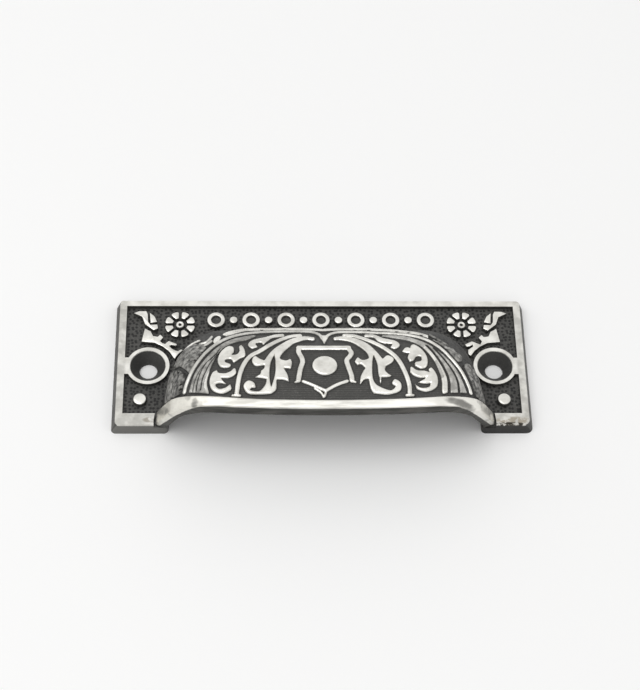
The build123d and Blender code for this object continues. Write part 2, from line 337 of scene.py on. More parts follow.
def draw_shield(draw):
    """The centre of the carving: a waisted shield with a bead, its frame open at the sides of the foot."""
    draw.stroke([(-6.3, -7.0), (0, -7.0), (5.9, -7.0)], 1.35)
    for frame_side in (
        [(-6.3, -6.9), (-6.4, -8.6), (-5.7, -10.6), (-5.5, -12.2), (-6.1, -14.6), (-6.6, -17.9)],
        [(5.7, -6.9), (6.5, -8.8), (6.1, -10.2), (5.3, -11.6), (5.7, -14), (6.3, -16.4), (6.4, -17.9)],
    ):
        draw.stroke(frame_side, 1.15)
    draw.stroke([(-5.4, -18.2), (-3.2, -19.2), (0, -20.8)], 0.75)
    draw.stroke([(5.2, -18.1), (2.6, -19.2), (0, -20.8)], 0.75)
    draw.stroke([(-2.6, -20.2), (-1.2, -21.3), (-0.5, -22.5)], 0.5)
    draw.stroke([(0.1, -20.7), (-0.1, -21.6), (-0.3, -22.3)], 0.5)
    draw.stroke([(-7.3, -18.4), (-6.3, -18.1)], 0.45)
    draw.stroke([(6.3, -18.1), (7.2, -18.4)], 0.45)
    draw.disc(-0.1, -13.3, 3.0)


ROPE_RIGHT = [
    (0.4, -3.0), (1.2, -0.9), (3.3, 0.7), (6, 1.0), (10, 0.85), (14, 0.35), (18, -0.1), (21, -0.9),
    (24.5, -2.7), (28, -6.0), (31, -9.8), (33.6, -13.5), (35.3, -17.2), (35.8, -19.0),
]
ROPE_LEFT = [
    (-0.3, -3.0), (-1.1, -0.7), (-2.9, 1.0), (-5, 1.4), (-9, 1.4), (-13, 1.15), (-16.5, 0.7), (-20, -0.4),
    (-23.6, -2.5), (-27.1, -5.9), (-29.9, -9.4), (-32.3, -13.4), (-33.9, -17.4), (-34.4, -19.6),
]


def draw_drapery(draw):
    """The rope that hangs from a point at the middle and runs down both sides of the hood."""
    draw.stroke(ROPE_RIGHT, 0.7)
    draw.tone = 0.7
    draw.stroke(ROPE_LEFT, 0.75)
    draw.tone = 1.0
    draw.leaf([(-0.75, -1.6), (-0.45, -3.4), (0, -5.3)], [(0, -5.3), (0.6, -3.4), (0.85, -1.6)])


def draw_right_leaves(draw):
    """The leaves to the right of the shield."""
    # The forked leaf, with its slit open at the foot
    draw.leaf(
        [(2.4, -2.5), (5, -2.0), (7.7, -2.9), (10.5, -5.2), (12.4, -8.0), (14.1, -11.2)],
        [(14.1, -11.2), (15.3, -10.0), (16.7, -10.9), (16.3, -12.3), (14.7, -13.5)],
        [(14.7, -13.5), (14.5, -14.8), (15.1, -15.8), (16.0, -16.6)],
        [(16.0, -16.6), (14.9, -16.9), (13.5, -16.9)],
        [(13.5, -16.9), (13.3, -19.0)],
        [(13.3, -19.0), (12.9, -16.0), (12.7, -12.6), (11.9, -9.3)],
        [(11.9, -9.3), (11.5, -12.5), (11.4, -16.8), (12.1, -18.9), (13.6, -20.0), (15.7, -20.7),
         (16.9, -19.6), (16.1, -18.8), (16.8, -17.6), (18.2, -18.7), (17.9, -20.8), (15, -21.8),
         (11.6, -21.5)],
        [(11.6, -21.5), (10.9, -20.2), (10.5, -17.4)],
        [(10.5, -17.4), (9.4, -17.6), (8.3, -19.0)],
        [(8.3, -19.0), (8.6, -16.6), (9.8, -14.1)],
        [(9.8, -14.1), (8.8, -12.9), (7.9, -13.1)],
        [(7.9, -13.1), (7.3, -12.0), (8.0, -10.6)],
        [(8.0, -10.6), (9.2, -11.6), (10.7, -10.9), (10.3, -8.8), (8.6, -6.4), (6.6, -4.4), (4, -3.4),
         (2.6, -3.4)],
    )
    # The stem between the two groups of leaves
    draw.stroke(
        [(5.2, -1.1), (7.3, -1.4), (9, -2.4), (12, -4.6), (15, -7.4), (17.6, -10.8), (19.3, -15.2),
         (20.2, -19), (20.3, -21.8)],
        1.05,
    )
    draw.stroke([(19.5, -22.0), (21.1, -22.0)], 0.6)
    # The small curled leaf over the stem
    draw.leaf(
        [(10.2, -1.0), (12.5, -1.0), (14.7, -2.8), (17.7, -4.2), (18.6, -5.9), (17.4, -7.3), (16.3, -6.8)],
        [(16.3, -6.8), (16.8, -5.3), (15, -5.0)],
        [(15, -5.0), (13.4, -4.1), (12.4, -2.2), (10.3, -1.9)],
    )
    # The upper scroll
    draw.leaf(
        [(19.1, -8.4), (19.7, -7.3), (20.5, -7.0), (21.1, -7.3)],
        [(21.1, -7.3), (21.4, -6.1), (22.4, -5.9), (24, -7.8), (25, -10.5), (24.8, -13.4), (23.4, -14.3),
         (21.9, -13.4)],
        [(21.9, -13.4), (22.1, -12.3), (23.4, -11.9), (23.6, -10.4), (22.4, -10.2), (21.6, -11.6),
         (20.7, -12.0)],
        [(20.7, -12.0), (20.3, -10.6), (20.9, -8.9)],
        [(20.9, -8.9), (20.0, -8.8)],
    )
    # The lower scroll
    draw.leaf(
        [(20.6, -15.4), (20.9, -13.8), (22.3, -14.9), (24.2, -15.1), (25.5, -15.6)],
        [(25.5, -15.6), (25.2, -14.6), (26.0, -14.2), (27.2, -16.8), (26.9, -19.6), (24.6, -21.0),
         (22.3, -20.5), (21.6, -19.0)],
        [(21.6, -19.0), (23.0, -20.0), (25.0, -19.8), (25.5, -18.6)],
        [(25.5, -18.6), (24.0, -18.8), (22.4, -18.5)],
        [(22.4, -18.5), (23.8, -17.7), (24.7, -16.9)],
        [(24.7, -16.9), (23.0, -17.1), (21.4, -16.4)],
    )
    # The sheaf of blades, parted by grooves
    draw.tone = 0.35
    draw.leaf(
        [(14.3, -1.4), (17.5, -1.4), (21, -2.3), (25.4, -5.4), (29.7, -10.1), (32.6, -14.4), (34.6, -19.6)],
        [(34.6, -19.6), (31.5, -20.6), (28.3, -21.2)],
        [(28.3, -21.2), (28.2, -17.2), (26.8, -11.9), (24.4, -7.0), (21.2, -3.9), (17.5, -2.5)],
    )
    for blade_edge, width in (
        ([(25.2, -6.0), (26.4, -8.2), (27.9, -11.3), (29.2, -14.4), (30.0, -17.3), (30.0, -20.9)], 0.8),
        ([(27.0, -7.1), (29.6, -11.4), (31.2, -14.2), (32.3, -16.9), (32.6, -20.2)], 0.7),
    ):
        draw.groove(blade_edge, width)
    draw.tone = 1.0
    draw.leaf(
        [(22.4, -4.3), (24.2, -5.2), (26.0, -8.2), (27.5, -11.3), (28.8, -14.4), (29.6, -17.3),
         (29.6, -20.9)],
        [(29.6, -20.9), (28.3, -21.2), (28.2, -17.2), (26.8, -11.9), (24.4, -7.0)],
    )
    # The leafy edge outside the rope
    draw.leaf(
        [(0, 3.3), (1.6, 3.9), (3.4, 4.5), (6.3, 4.8), (10.5, 4.7), (13.3, 3.9), (17.4, 2.8), (20.1, 1.9),
         (22.7, 0.9), (24.3, 0), (26.1, -1.3)],
        [(26.1, -1.3), (26.0, -2.5)],
        [(26.0, -2.4), (24.2, -1.0), (22.6, -0.1), (19.9, 0.8), (17.2, 1.6), (13.1, 2.4), (10.3, 2.8),
         (6.1, 2.9), (3.3, 2.7), (1.5, 2.4), (0, 2.1)],
    )
    draw.pits(0.7, (8.0, 2.9), (10.6, 2.6), (11.4, 3.0), (18.4, 1.6), (21.3, 0.8), (24.3, -0.9))
    draw.tone = 0.02
    draw.stroke([(26.6, -0.8), (28.0, -2.4), (29.1, -3.5), (30.6, -4.8)], 0.4)
    draw.leaf(
        [(27.0, -3.2), (28.2, -3.7), (29.0, -4.5), (30.3, -5.0), (31.3, -5.5), (32.2, -6.1), (32.6, -7.0)],
        [(32.6, -7.0), (33.6, -7.4), (34.3, -8.4), (33.9, -9.8), (33.0, -10.4)],
        [(33.0, -10.4), (32.4, -9.8), (31.6, -8.6), (30.3, -6.7), (28.8, -5.0)],
    )
    draw.pits(0.55, (31.9, -7.2))
    draw.pits(0.4, (30.4, -5.7))
    draw.pits(0.5, (33.2, -9.0))
    draw.pits(0.3, (29.2, -4.4), (31.4, -6.0), (32.6, -8.0), (30.2, -6.6), (27.8, -3.6))
    draw.tone = -0.08
    draw.leaf(
        [(34.5, -11.0), (35.6, -9.6), (37.4, -10.2), (38.8, -12.0), (40.0, -14.8), (40.7, -17.5)],
        [(40.7, -17.5), (39.4, -18.3), (37.4, -18.6)],
        [(37.4, -18.6), (36.6, -16.2), (35.6, -13.6)],
    )
    draw.tone = 0.45
    draw.stroke([(35.3, -10.2), (35.7, -11.8), (36.7, -14.4), (37.9, -17.8)], 0.4)
    draw.groove([(36.3, -11.0), (37.6, -13.6), (38.9, -17.4)], 0.3)
    draw.tone = 1.0


def draw_left_leaves(draw):
    """The leaves to the left of the shield, which were cut a little wider than the right ones."""
    # The forked leaf, with its slit closed at the foot
    draw.leaf(
        [(-2.3, -2.6), (-5, -2.0), (-8, -3.2), (-11, -6.0), (-13.2, -8.7), (-14.8, -11.8)],
        [(-14.8, -11.8), (-15.9, -11.2), (-17.1, -10.3), (-17.8, -11.8), (-16.9, -13.4), (-14.7, -13.2)],
        [(-14.7, -13.2), (-14.8, -14.2), (-15.6, -15.2), (-15.8, -16.1), (-17.0, -17.0)],
        [(-17.0, -17.0), (-15.5, -17.2), (-14.2, -17.5)],
        [(-14.2, -17.5), (-14.6, -19.2), (-16, -20.9), (-18.2, -20.7), (-17.9, -20.0), (-17.0, -19.9),
         (-17.3, -18.6), (-18.7, -18.0), (-19.8, -19.4), (-18.8, -21.5), (-16, -21.8), (-13.2, -21.6)],
        [(-13.2, -21.6), (-12.0, -20.4), (-11.9, -17.6)],
        [(-11.9, -17.6), (-10.2, -17.7), (-8.9, -18.2)],
        [(-8.9, -18.2), (-9.2, -16.3), (-10.2, -14.1)],
        [(-10.2, -14.1), (-8.4, -14.3)],
        [(-8.4, -14.3), (-8.1, -12.5), (-8.4, -11.2)],
        [(-8.4, -11.2), (-9.6, -11.8), (-11.0, -11.0), (-10.3, -8.9), (-8.4, -6.2), (-7.3, -4.9),
         (-4.6, -3.4), (-2.6, -3.6)],
    )
    draw.slit(
        [(-12.3, -9.2), (-12.1, -12.0), (-12.2, -16.0), (-13.2, -20.2)],
        [(-13.2, -20.2), (-13.6, -16.5), (-13.3, -12.5), (-12.3, -9.2)],
    )
    # The stem between the two groups of leaves
    draw.stroke(
        [(-5.9, -1.3), (-8, -1.7), (-10.5, -3.3), (-13.3, -5.7), (-15.9, -8.3), (-18.3, -10.3), (-20, -13.5),
         (-21, -17.5), (-21.5, -22.1)],
        1.05,
    )
    draw.stroke([(-22.4, -22.1), (-20.7, -22.1)], 0.6)
    # The small curled leaf over the stem
    draw.leaf(
        [(-9.9, -0.7), (-12, -1.0), (-14.5, -2.4), (-17.6, -3.8), (-18.8, -5.6), (-17.9, -7.2),
         (-16.5, -6.7)],
        [(-16.5, -6.7), (-17.0, -5.2), (-15.6, -4.7), (-15.0, -5.6)],
        [(-15.0, -5.6), (-14.0, -4.0), (-12.6, -2.3), (-10.1, -1.7)],
    )
    # The upper scroll
    draw.leaf(
        [(-21.0, -6.6), (-20.5, -6.1), (-19.8, -7.3), (-19.5, -10.0), (-20.9, -11.1), (-22.2, -12.4)],
        [(-22.2, -12.4), (-23.0, -11.2), (-24.4, -11.5), (-24.2, -12.4), (-23.0, -13.1), (-23.6, -14.0),
         (-25.4, -13.8), (-26.2, -11.6), (-25.4, -8.6), (-23.7, -6.6), (-22.4, -7.0), (-22.3, -8.6)],
        [(-22.3, -8.6), (-22.8, -9.8), (-21.6, -9.7), (-20.9, -8.4)],
    )
    # The lower scroll
    draw.leaf(
        [(-23.0, -15.3), (-22.0, -14.3), (-21.7, -15.8), (-23.2, -17.1), (-25.4, -17.2)],
        [(-25.4, -17.2), (-24.8, -18.1), (-24.0, -19.0)],
        [(-24.0, -19.0), (-25.4, -18.7), (-26.7, -19.1), (-25.8, -20.3), (-24.2, -20.0), (-23.0, -19.0)],
        [(-23.0, -19.0), (-22.9, -20.5), (-25.0, -21.6), (-27.3, -20.7), (-28.1, -18.4), (-27.5, -15.8),
         (-26.3, -14.9)],
        [(-26.3, -14.9), (-25.9, -15.7), (-24.3, -15.9)],
    )
    # The sheaf of blades, parted by grooves
    draw.tone = 0.2
    draw.leaf(
        [(-16.8, -1.3), (-20, -2.2), (-23.4, -4.0), (-26.4, -7.0), (-29.3, -11.0), (-31.8, -15.2),
         (-33.2, -20.1)],
        [(-33.2, -20.1), (-31, -20.8), (-28.3, -21.5)],
        [(-28.3, -21.5), (-28.9, -17.9), (-27.5, -12.6), (-25.4, -7.8), (-22.5, -4.9), (-19, -3.4)],
    )
    for blade_edge, width in (
        ([(-25.6, -7.4), (-27.6, -10.8), (-29.3, -12.5), (-30.9, -15.0), (-31.9, -17.9), (-32.3, -20.6)],
         0.28),
        ([(-26.2, -8.8), (-28.7, -11.8), (-30.2, -14.6), (-31.1, -17.6), (-31.4, -20.2)], 0.32),
        ([(-26.3, -9.4), (-28.3, -13.0), (-29.0, -14.8), (-29.9, -17.3), (-30.3, -20.2)], 0.32),
    ):
        draw.groove(blade_edge, width)
    draw.tone = 1.0
    draw.leaf(
        [(-28.2, -15.0), (-28.9, -16.4), (-29.5, -18.2), (-29.8, -20.6)],
        [(-29.8, -20.6), (-28.3, -21.3)],
        [(-28.3, -21.3), (-28.8, -18.2)],
    )
    # The leafy edge outside the rope
    draw.leaf(
        [(0, 3.3), (-1.4, 3.8), (-4.2, 4.5), (-6.8, 4.8), (-9.7, 4.8), (-12.6, 4.6), (-15.4, 4.3),
         (-18.8, 4.0), (-20.5, 3.2), (-22.1, 2.1), (-23.8, 0.9), (-25.1, -0.6)],
        [(-25.1, -0.6), (-24.8, -1.9)],
        [(-24.8, -1.8), (-22.9, -0.6), (-21.0, 0.9), (-18.8, 2.2), (-15.4, 2.6), (-12.6, 2.8), (-9.8, 3.1),
         (-7.0, 3.1), (-4.3, 2.9), (-1.5, 2.4), (0, 2.1)],
    )
    draw.pits(0.8, (-22.0, 1.3), (-25.0, -1.3), (-15.6, 3.0), (-12.8, 2.6), (-9.6, 3.2))
    draw.leaf([(-27.5, -4.3), (-27.2, -3.0), (-26.3, -1.9), (-25.6, -2.1), (-26.0, -3.7), (-26.9, -5.2)])
    draw.tone = 0.7
    draw.stroke([(-30.8, -4.3), (-29.4, -4.1), (-28.5, -3.0), (-27.9, -1.6)], 0.55)
    draw.stroke([(-30.0, -5.6), (-28.7, -4.8), (-27.9, -3.8)], 0.5)
    draw.tone = 0.8
    draw.stroke([(-31.0, -2.3), (-33.3, -2.9), (-35.0, -4.5), (-35.7, -5.8)], 0.4)
    draw.tone = -0.04
    draw.leaf(
        [(-29.2, -6.4), (-30.4, -4.9), (-32.4, -3.6), (-34.6, -4.2), (-36.2, -5.6), (-37.2, -7.6),
         (-37.3, -9.4)],
        [(-37.3, -9.4), (-36.2, -9.9), (-35.5, -10.6)],
        [(-35.5, -10.6), (-34.3, -12.5), (-33.2, -14.3)],
        [(-33.2, -14.3), (-32.7, -13.2), (-31.6, -10.6), (-30.3, -8.2)],
    )
    draw.pits(
        0.55,
        (-32.2, -7.5), (-33.6, -9.8), (-32.1, -10.4), (-30.3, -7.9), (-33.6, -6.3), (-31.2, -6.2),
        (-35.2, -7.6),
    )
    draw.tone = -0.08
    draw.leaf(
        [(-38.1, -9.8), (-36.5, -11.1), (-35.5, -12.4), (-34.2, -15.0)],
        [(-34.2, -15.0), (-34.8, -17.0), (-35.3, -19.3)],
        [(-35.3, -19.3), (-37.2, -19.2), (-39.8, -18.2)],
        [(-39.8, -18.2), (-39.7, -15.4), (-39.2, -12.4), (-38.6, -10.2)],
    )
    draw.pits(0.7, (-35.5, -16.7), (-35.6, -18.1), (-36.2, -12.4))
    draw.groove([(-37.2, -12.0), (-37.6, -15.0), (-37.8, -17.6)], 0.3)
    draw.tone = 1.0


# Making meshes

def deselect():
    """Leaves nothing selected, so that an operator acts on the new piece alone."""
    if bpy.context.object and bpy.context.object.mode != "OBJECT":
        bpy.ops.object.mode_set(mode="OBJECT")
    bpy.ops.object.select_all(action="DESELECT")


def activate(piece):
    """Makes a piece the only selected one."""
    deselect()
    piece.select_set(True)
    bpy.context.view_layer.objects.active = piece


def place(points):
    """Points in millimetres from the middle of the plate's top face, as metres of the frame."""
    points = np.asarray(points, float)
    return (points + (0, HOLE_DROP, THICKNESS)) * MM


def new_piece(name, points, edges=(), faces=()):
    """A mesh object from points in millimetres."""
    mesh = bpy.data.meshes.new(name)
    mesh.from_pydata([tuple(point) for point in place(points)], edges, faces)
    piece = bpy.data.objects.new(name, mesh)
    bpy.context.collection.objects.link(piece)
    return piece


def tidy(piece, angle=30):
    """Merges doubles, turns the faces outwards and smooths all but the sharp edges."""
    activate(piece)
    bpy.ops.object.mode_set(mode="EDIT")
    bpy.ops.mesh.select_all(action="SELECT")
    bpy.ops.mesh.remove_doubles(threshold=MERGE)
    bpy.ops.mesh.normals_make_consistent(inside=False)
    bpy.ops.object.mode_set(mode="OBJECT")
    bpy.ops.object.shade_smooth_by_angle(angle=radians(angle))
    return piece


def spun(name, profile, x, y, steps):
    """A form turned on the lathe round an upright line, from (radius, height) points."""
    points = [(x + r, y, z) for r, z in profile]
    piece = new_piece(name, points, [(k, k + 1) for k in range(len(points) - 1)])
    activate(piece)
    bpy.ops.object.mode_set(mode="EDIT")
    bpy.ops.mesh.select_all(action="SELECT")
    centre = tuple(place([(x, y, 0)])[0])
    bpy.ops.mesh.spin(steps=steps, angle=2 * pi, center=centre, axis=(0, 0, 1))
    bpy.ops.object.mode_set(mode="OBJECT")
    return tidy(piece)


def raised(name, outline, low, worn):
    """A flat outline pulled up to the plate's top face, with its upper edge worn round."""
    piece = new_piece(name, [(x, y, low) for x, y in outline], (), [tuple(range(len(outline)))])
    activate(piece)
    bpy.ops.object.mode_set(mode="EDIT")
    bpy.ops.mesh.select_all(action="SELECT")
    bpy.ops.mesh.extrude_region_move(TRANSFORM_OT_translate={"value": (0, 0, -low * MM)})
    bpy.ops.mesh.region_to_loop()
    bpy.ops.mesh.bevel(offset=worn * MM, segments=2, affect="EDGES", clamp_overlap=True)
    bpy.ops.object.mode_set(mode="OBJECT")
    return tidy(piece, 40)


def join(name, pieces):
    """Joins pieces into one mesh."""
    activate(pieces[0])
    for piece in pieces:
        piece.select_set(True)
    if len(pieces) > 1:
        bpy.ops.object.join()
    pieces[0].name = name
    pieces[0].data.name = name
    return pieces[0]


def copy_to(piece, name, x, y, mirrored=False):
    """A copy with its own mesh, moved by x and y millimetres or mirrored across the middle."""
    copy = bpy.data.objects.new(name, piece.data.copy())
    bpy.context.collection.objects.link(copy)
    change = Matrix.Translation((x * MM, y * MM, 0))
    if mirrored:
        change = Matrix.Scale(-1, 4, (1, 0, 0)) @ change
    copy.data.transform(change)
    if mirrored:
        copy.data.flip_normals()
    return copy


def cut(piece, cutter):
    """Cuts one form out of a piece and removes the cutter."""
    activate(piece)
    change = piece.modifiers.new("Cut", "BOOLEAN")
    change.operation = "DIFFERENCE"
    change.solver = "EXACT"
    change.object = cutter
    bpy.ops.object.modifier_apply(modifier=change.name)
    bpy.data.objects.remove(cutter)


def belongs(piece, material):
    """Gives a piece its finish and its place on the model."""
    piece.data.materials.clear()
    piece.data.materials.append(material)
    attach(piece, "root")
    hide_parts(NODE)


# Materials

def node(tree, kind, x, y, **values):
    """Adds a node with its settings and the values of its sockets."""
    new = tree.nodes.new(kind)
    new.location = (x, y)
    for key, value in values.items():
        if key in new.inputs:
            new.inputs[key].default_value = value
        else:
            setattr(new, key, value)
    return new


def give_value(tree, socket, value):
    """Links another node's result to a socket, or sets a constant on it."""
    if hasattr(value, "links"):
        tree.links.new(value, socket)
    else:
        socket.default_value = value


def maths(tree, operation, *values):
    """Adds a maths node on sockets or numbers and returns its result."""
    new = tree.nodes.new("ShaderNodeMath")
    new.operation = operation
    for socket, value in zip(new.inputs, values):
        give_value(tree, socket, value)
    return new.outputs[0]


def ramp(tree, value, low, high):
    """A smooth rise from 0 at low to 1 at high."""
    new = tree.nodes.new("ShaderNodeMapRange")
    new.interpolation_type = "SMOOTHSTEP"
    new.inputs["From Min"].default_value = low
    new.inputs["From Max"].default_value = high
    tree.links.new(value, new.inputs["Value"])
    return new.outputs["Result"]


def blend(tree, share, first, second):
    """Mixes two colours, given as sockets or values, by a share."""
    new = tree.nodes.new("ShaderNodeMix")
    new.data_type = "RGBA"
    for socket, value in ((new.inputs[0], share), (new.inputs[6], first), (new.inputs[7], second)):
        give_value(tree, socket, value)
    return new.outputs[2]


WORN_METAL = (0.63, 0.617, 0.572, 1)
SCRATCHED_METAL = (0.90, 0.89, 0.85, 1)
BORDER_METAL = (0.36, 0.354, 0.325, 1)
PATINA_CLOUD = (0.075, 0.073, 0.068, 1)
PATINA_GRAIN = (0.16, 0.155, 0.145, 1)
PIT_BLACK = (0.006, 0.006, 0.006, 1)
HATCH_BLACK = (0.02, 0.02, 0.019, 1)
# Black of the patina and painted shade in the carving's corners and on the plate's front face
PATINA_AND_SHADE_BLACK = (0.018, 0.018, 0.017, 1)
FLANK_BLACK = (0.03, 0.03, 0.028, 1)
# Painted shade in the countersinks
CONE_SHADE_BLACK = (0.03, 0.03, 0.029, 1)
# Grey of the plate's front face where painted light falls at its left end
FRONT_PAINTED_LIGHT_GREY = (0.17, 0.167, 0.155, 1)
# Flaws of the front border in millimetres of the frame: middle, reach, strength and colour
BORDER_FLAWS = (
    ((48.0, -16.4), (5.2, 1.5), 0.7, (0.30, 0.25, 0.17, 1)),
    ((47.0, -17.35), (5.4, 0.75), 0.97, (0.03, 0.027, 0.022, 1)),
    ((-43.6, -16.0), (1.9, 0.9), 0.6, (0.19, 0.155, 0.105, 1)),
)
# The front border and the sunk ground in millimetres of the frame, across the length of the plate
FRONT_BORDER_Y = -13.9
FRONT_EDGE_Y = -17.3
GROUND_MIDDLE = 2.1
GROUND_REACH = 16.2

LIP_WORN = (0.50, 0.49, 0.45, 1)
LIP_BRIGHT = (0.76, 0.75, 0.70, 1)
LIP_CREAM = (0.84, 0.815, 0.74, 1)
# Painted sheen on the lip's right half
LIP_PAINTED_SHEEN = (0.93, 0.915, 0.86, 1)
LIP_BLOTCH = (0.20, 0.197, 0.183, 1)
LIP_REFLECTION_DARK = (0.10, 0.098, 0.09, 1)
# Front face of the lip, dark with patina and painted shade
LIP_FRONT_PATINA_SHADE_DARK = (0.055, 0.054, 0.05, 1)
LIP_FRONT_PATINA_SHADE_GREY = (0.13, 0.128, 0.118, 1)
# Painted dark reflections on the lip's corners, in millimetres of the frame: middle and reach
LIP_DARK_REFLECTIONS = (((32.6, -21.9), (4.0, 1.0)), ((-31.5, -22.0), (0.9, 1.4)))


class Finish:
    """A material in the making, with nodes that read the piece's own places."""

    def __init__(self, name):
        self.material = bpy.data.materials.new(name)
        self.material.use_nodes = True
        self.tree = self.material.node_tree
        self.shader = self.tree.nodes["Principled BSDF"]
        self.places = node(self.tree, "ShaderNodeTexCoord", -1200, 0).outputs["Object"]
        split = self.placed("ShaderNodeSeparateXYZ", self.places)
        self.x, self.y, self.z = (self.times(split.outputs[k], 1000) for k in range(3))

    def placed(self, kind, places, **values):
        """Adds a node that reads places."""
        new = node(self.tree, kind, -900, 0, **values)
        self.tree.links.new(places, new.inputs[0])
        return new

    def maths(self, operation, *values):
        """The result of a maths node."""
        return maths(self.tree, operation, *values)

    def times(self, a, b):
        """A times b."""
        return maths(self.tree, "MULTIPLY", a, b)

    def minus(self, a, b):
        """A less b."""
        return maths(self.tree, "SUBTRACT", a, b)

    def plus(self, a, b):
        """A and b."""
        return maths(self.tree, "ADD", a, b)

    def weigh(self, a, weight, b):
        """A times its weight, and b."""
        return maths(self.tree, "MULTIPLY_ADD", a, weight, b)

    def ramp(self, value, low, high):
        """A smooth rise from 0 at low to 1 at high, or a fall where high is the lower one."""
        return ramp(self.tree, value, low, high)

    def blend(self, share, first, second):
        """The first colour, changed to the second by a share."""
        return blend(self.tree, share, first, second)

    def noise(self, scale, detail, rough=0.55, stretch=None):
        """Noise at the piece's places, which may be stretched."""
        places = self.places
        if stretch:
            places = self.placed("ShaderNodeMapping", places, Scale=stretch).outputs[0]
        new = self.placed("ShaderNodeTexNoise", places, Scale=scale, Detail=detail, Roughness=rough)
        return new.outputs[0]

    def attribute(self, name):
        """What the piece's attribute of this name says at each place."""
        return node(self.tree, "ShaderNodeAttribute", -900, 300, attribute_name=name).outputs["Fac"]

    def oval(self, middle, reach):
        """How far off the middle of an oval a place is, squared, with 1 on the oval."""
        return self.plus(*(
            self.maths("POWER", self.maths("DIVIDE", self.minus(place, centre), size), 2)
            for place, centre, size in zip((self.x, self.y), middle, reach)
        ))

    def ready(self, colour, metallic, rough, lift, strength, depth):
        """Joins the results to the shader, with a fine bump, and returns the material."""
        bump = node(self.tree, "ShaderNodeBump", 300, -300, Strength=strength, Distance=depth)
        self.tree.links.new(lift, bump.inputs["Height"])
        self.tree.links.new(bump.outputs[0], self.shader.inputs["Normal"])
        for name, value in (("Base Color", colour), ("Metallic", metallic), ("Roughness", rough)):
            give_value(self.tree, self.shader.inputs[name], value)
        return self.material


class CastMetal(Finish):
    """Cast metal, rubbed bright where it stands high and dark with patina where it lies low."""

    def __init__(self, name):
        super().__init__(name)
        chosen = settings()
        self.fine = self.noise(2600, 3)
        self.broad = self.noise(260, 3)
        self.wear = self.ramp(self.broad, 0.30, 0.68)
        scratch = self.ramp(self.noise(700, 3, 0.6, (0.25, 1, 1)), 0.38, 0.66)
        self.bright = self.blend(self.wear, WORN_METAL, tuple(chosen.bright))
        self.bright = self.blend(self.times(scratch, 0.35), self.bright, SCRATCHED_METAL)
        self.dark = self.blend(self.ramp(self.broad, 0.35, 0.75), tuple(chosen.dark), PATINA_CLOUD)
        self.stain(self.times(self.ramp(self.fine, 0.50, 0.74), 0.55), PATINA_GRAIN)

    def stain(self, share, colour):
        """Changes the dark metal to a colour by a share."""
        self.dark = self.blend(share, self.dark, colour)

    def stipple(self, space, low, high):
        """Small pits, 1 in their middles."""
        cells = self.placed(
            "ShaderNodeTexVoronoi", self.places, Scale=980, Randomness=0.65, voronoi_dimensions=space
        )
        return self.ramp(cells.outputs["Distance"], low, high)

    def worn(self, high_share):
        """The finished metal, from how much each place is rubbed."""
        rough = self.weigh(self.wear, -0.08, self.weigh(high_share, -0.26, 0.62))
        lift = self.weigh(self.fine, 0.5, self.times(self.broad, 0.7))
        colour = self.blend(high_share, self.dark, self.bright)
        return self.ready(colour, self.weigh(high_share, 0.55, 0.35), rough, lift, 0.35, 0.00012)


def carved_metal(name):
    """The hood's finish, from the heights, tones and corners of its carving; the corners are darkened by
    patina and painted shade.
    """
    metal = CastMetal(name)
    mottle = metal.ramp(metal.noise(800, 3), 0.25, 0.75)
    rub = metal.attribute("rub")
    rub = metal.weigh(metal.times(mottle, metal.minus(1.0, rub)), 0.5, rub)
    high_share = metal.ramp(metal.weigh(metal.fine, 0.30, metal.attribute("high")), 0.52, 0.86)
    # Fine hatching on the ground, corners darkened by patina and painted shade, and stipple outside the rope
    hatch = metal.placed(
        "ShaderNodeTexWave", metal.places, bands_direction="Y", Scale=520, Distortion=1.2, Detail=2
    )
    metal.stain(metal.times(metal.ramp(hatch.outputs["Fac"], 0.35, 0.8), 0.4), HATCH_BLACK)
    metal.stain(metal.times(metal.attribute("crevice_patina_and_shade"), 0.75), PATINA_AND_SHADE_BLACK)
    bare = metal.attribute("bare")
    metal.stain(metal.times(bare, 0.6), FLANK_BLACK)
    metal.stain(metal.times(metal.times(metal.stipple("3D", 0.5, 0.26), bare), 0.85), PIT_BLACK)
    return metal.worn(metal.times(high_share, rub))


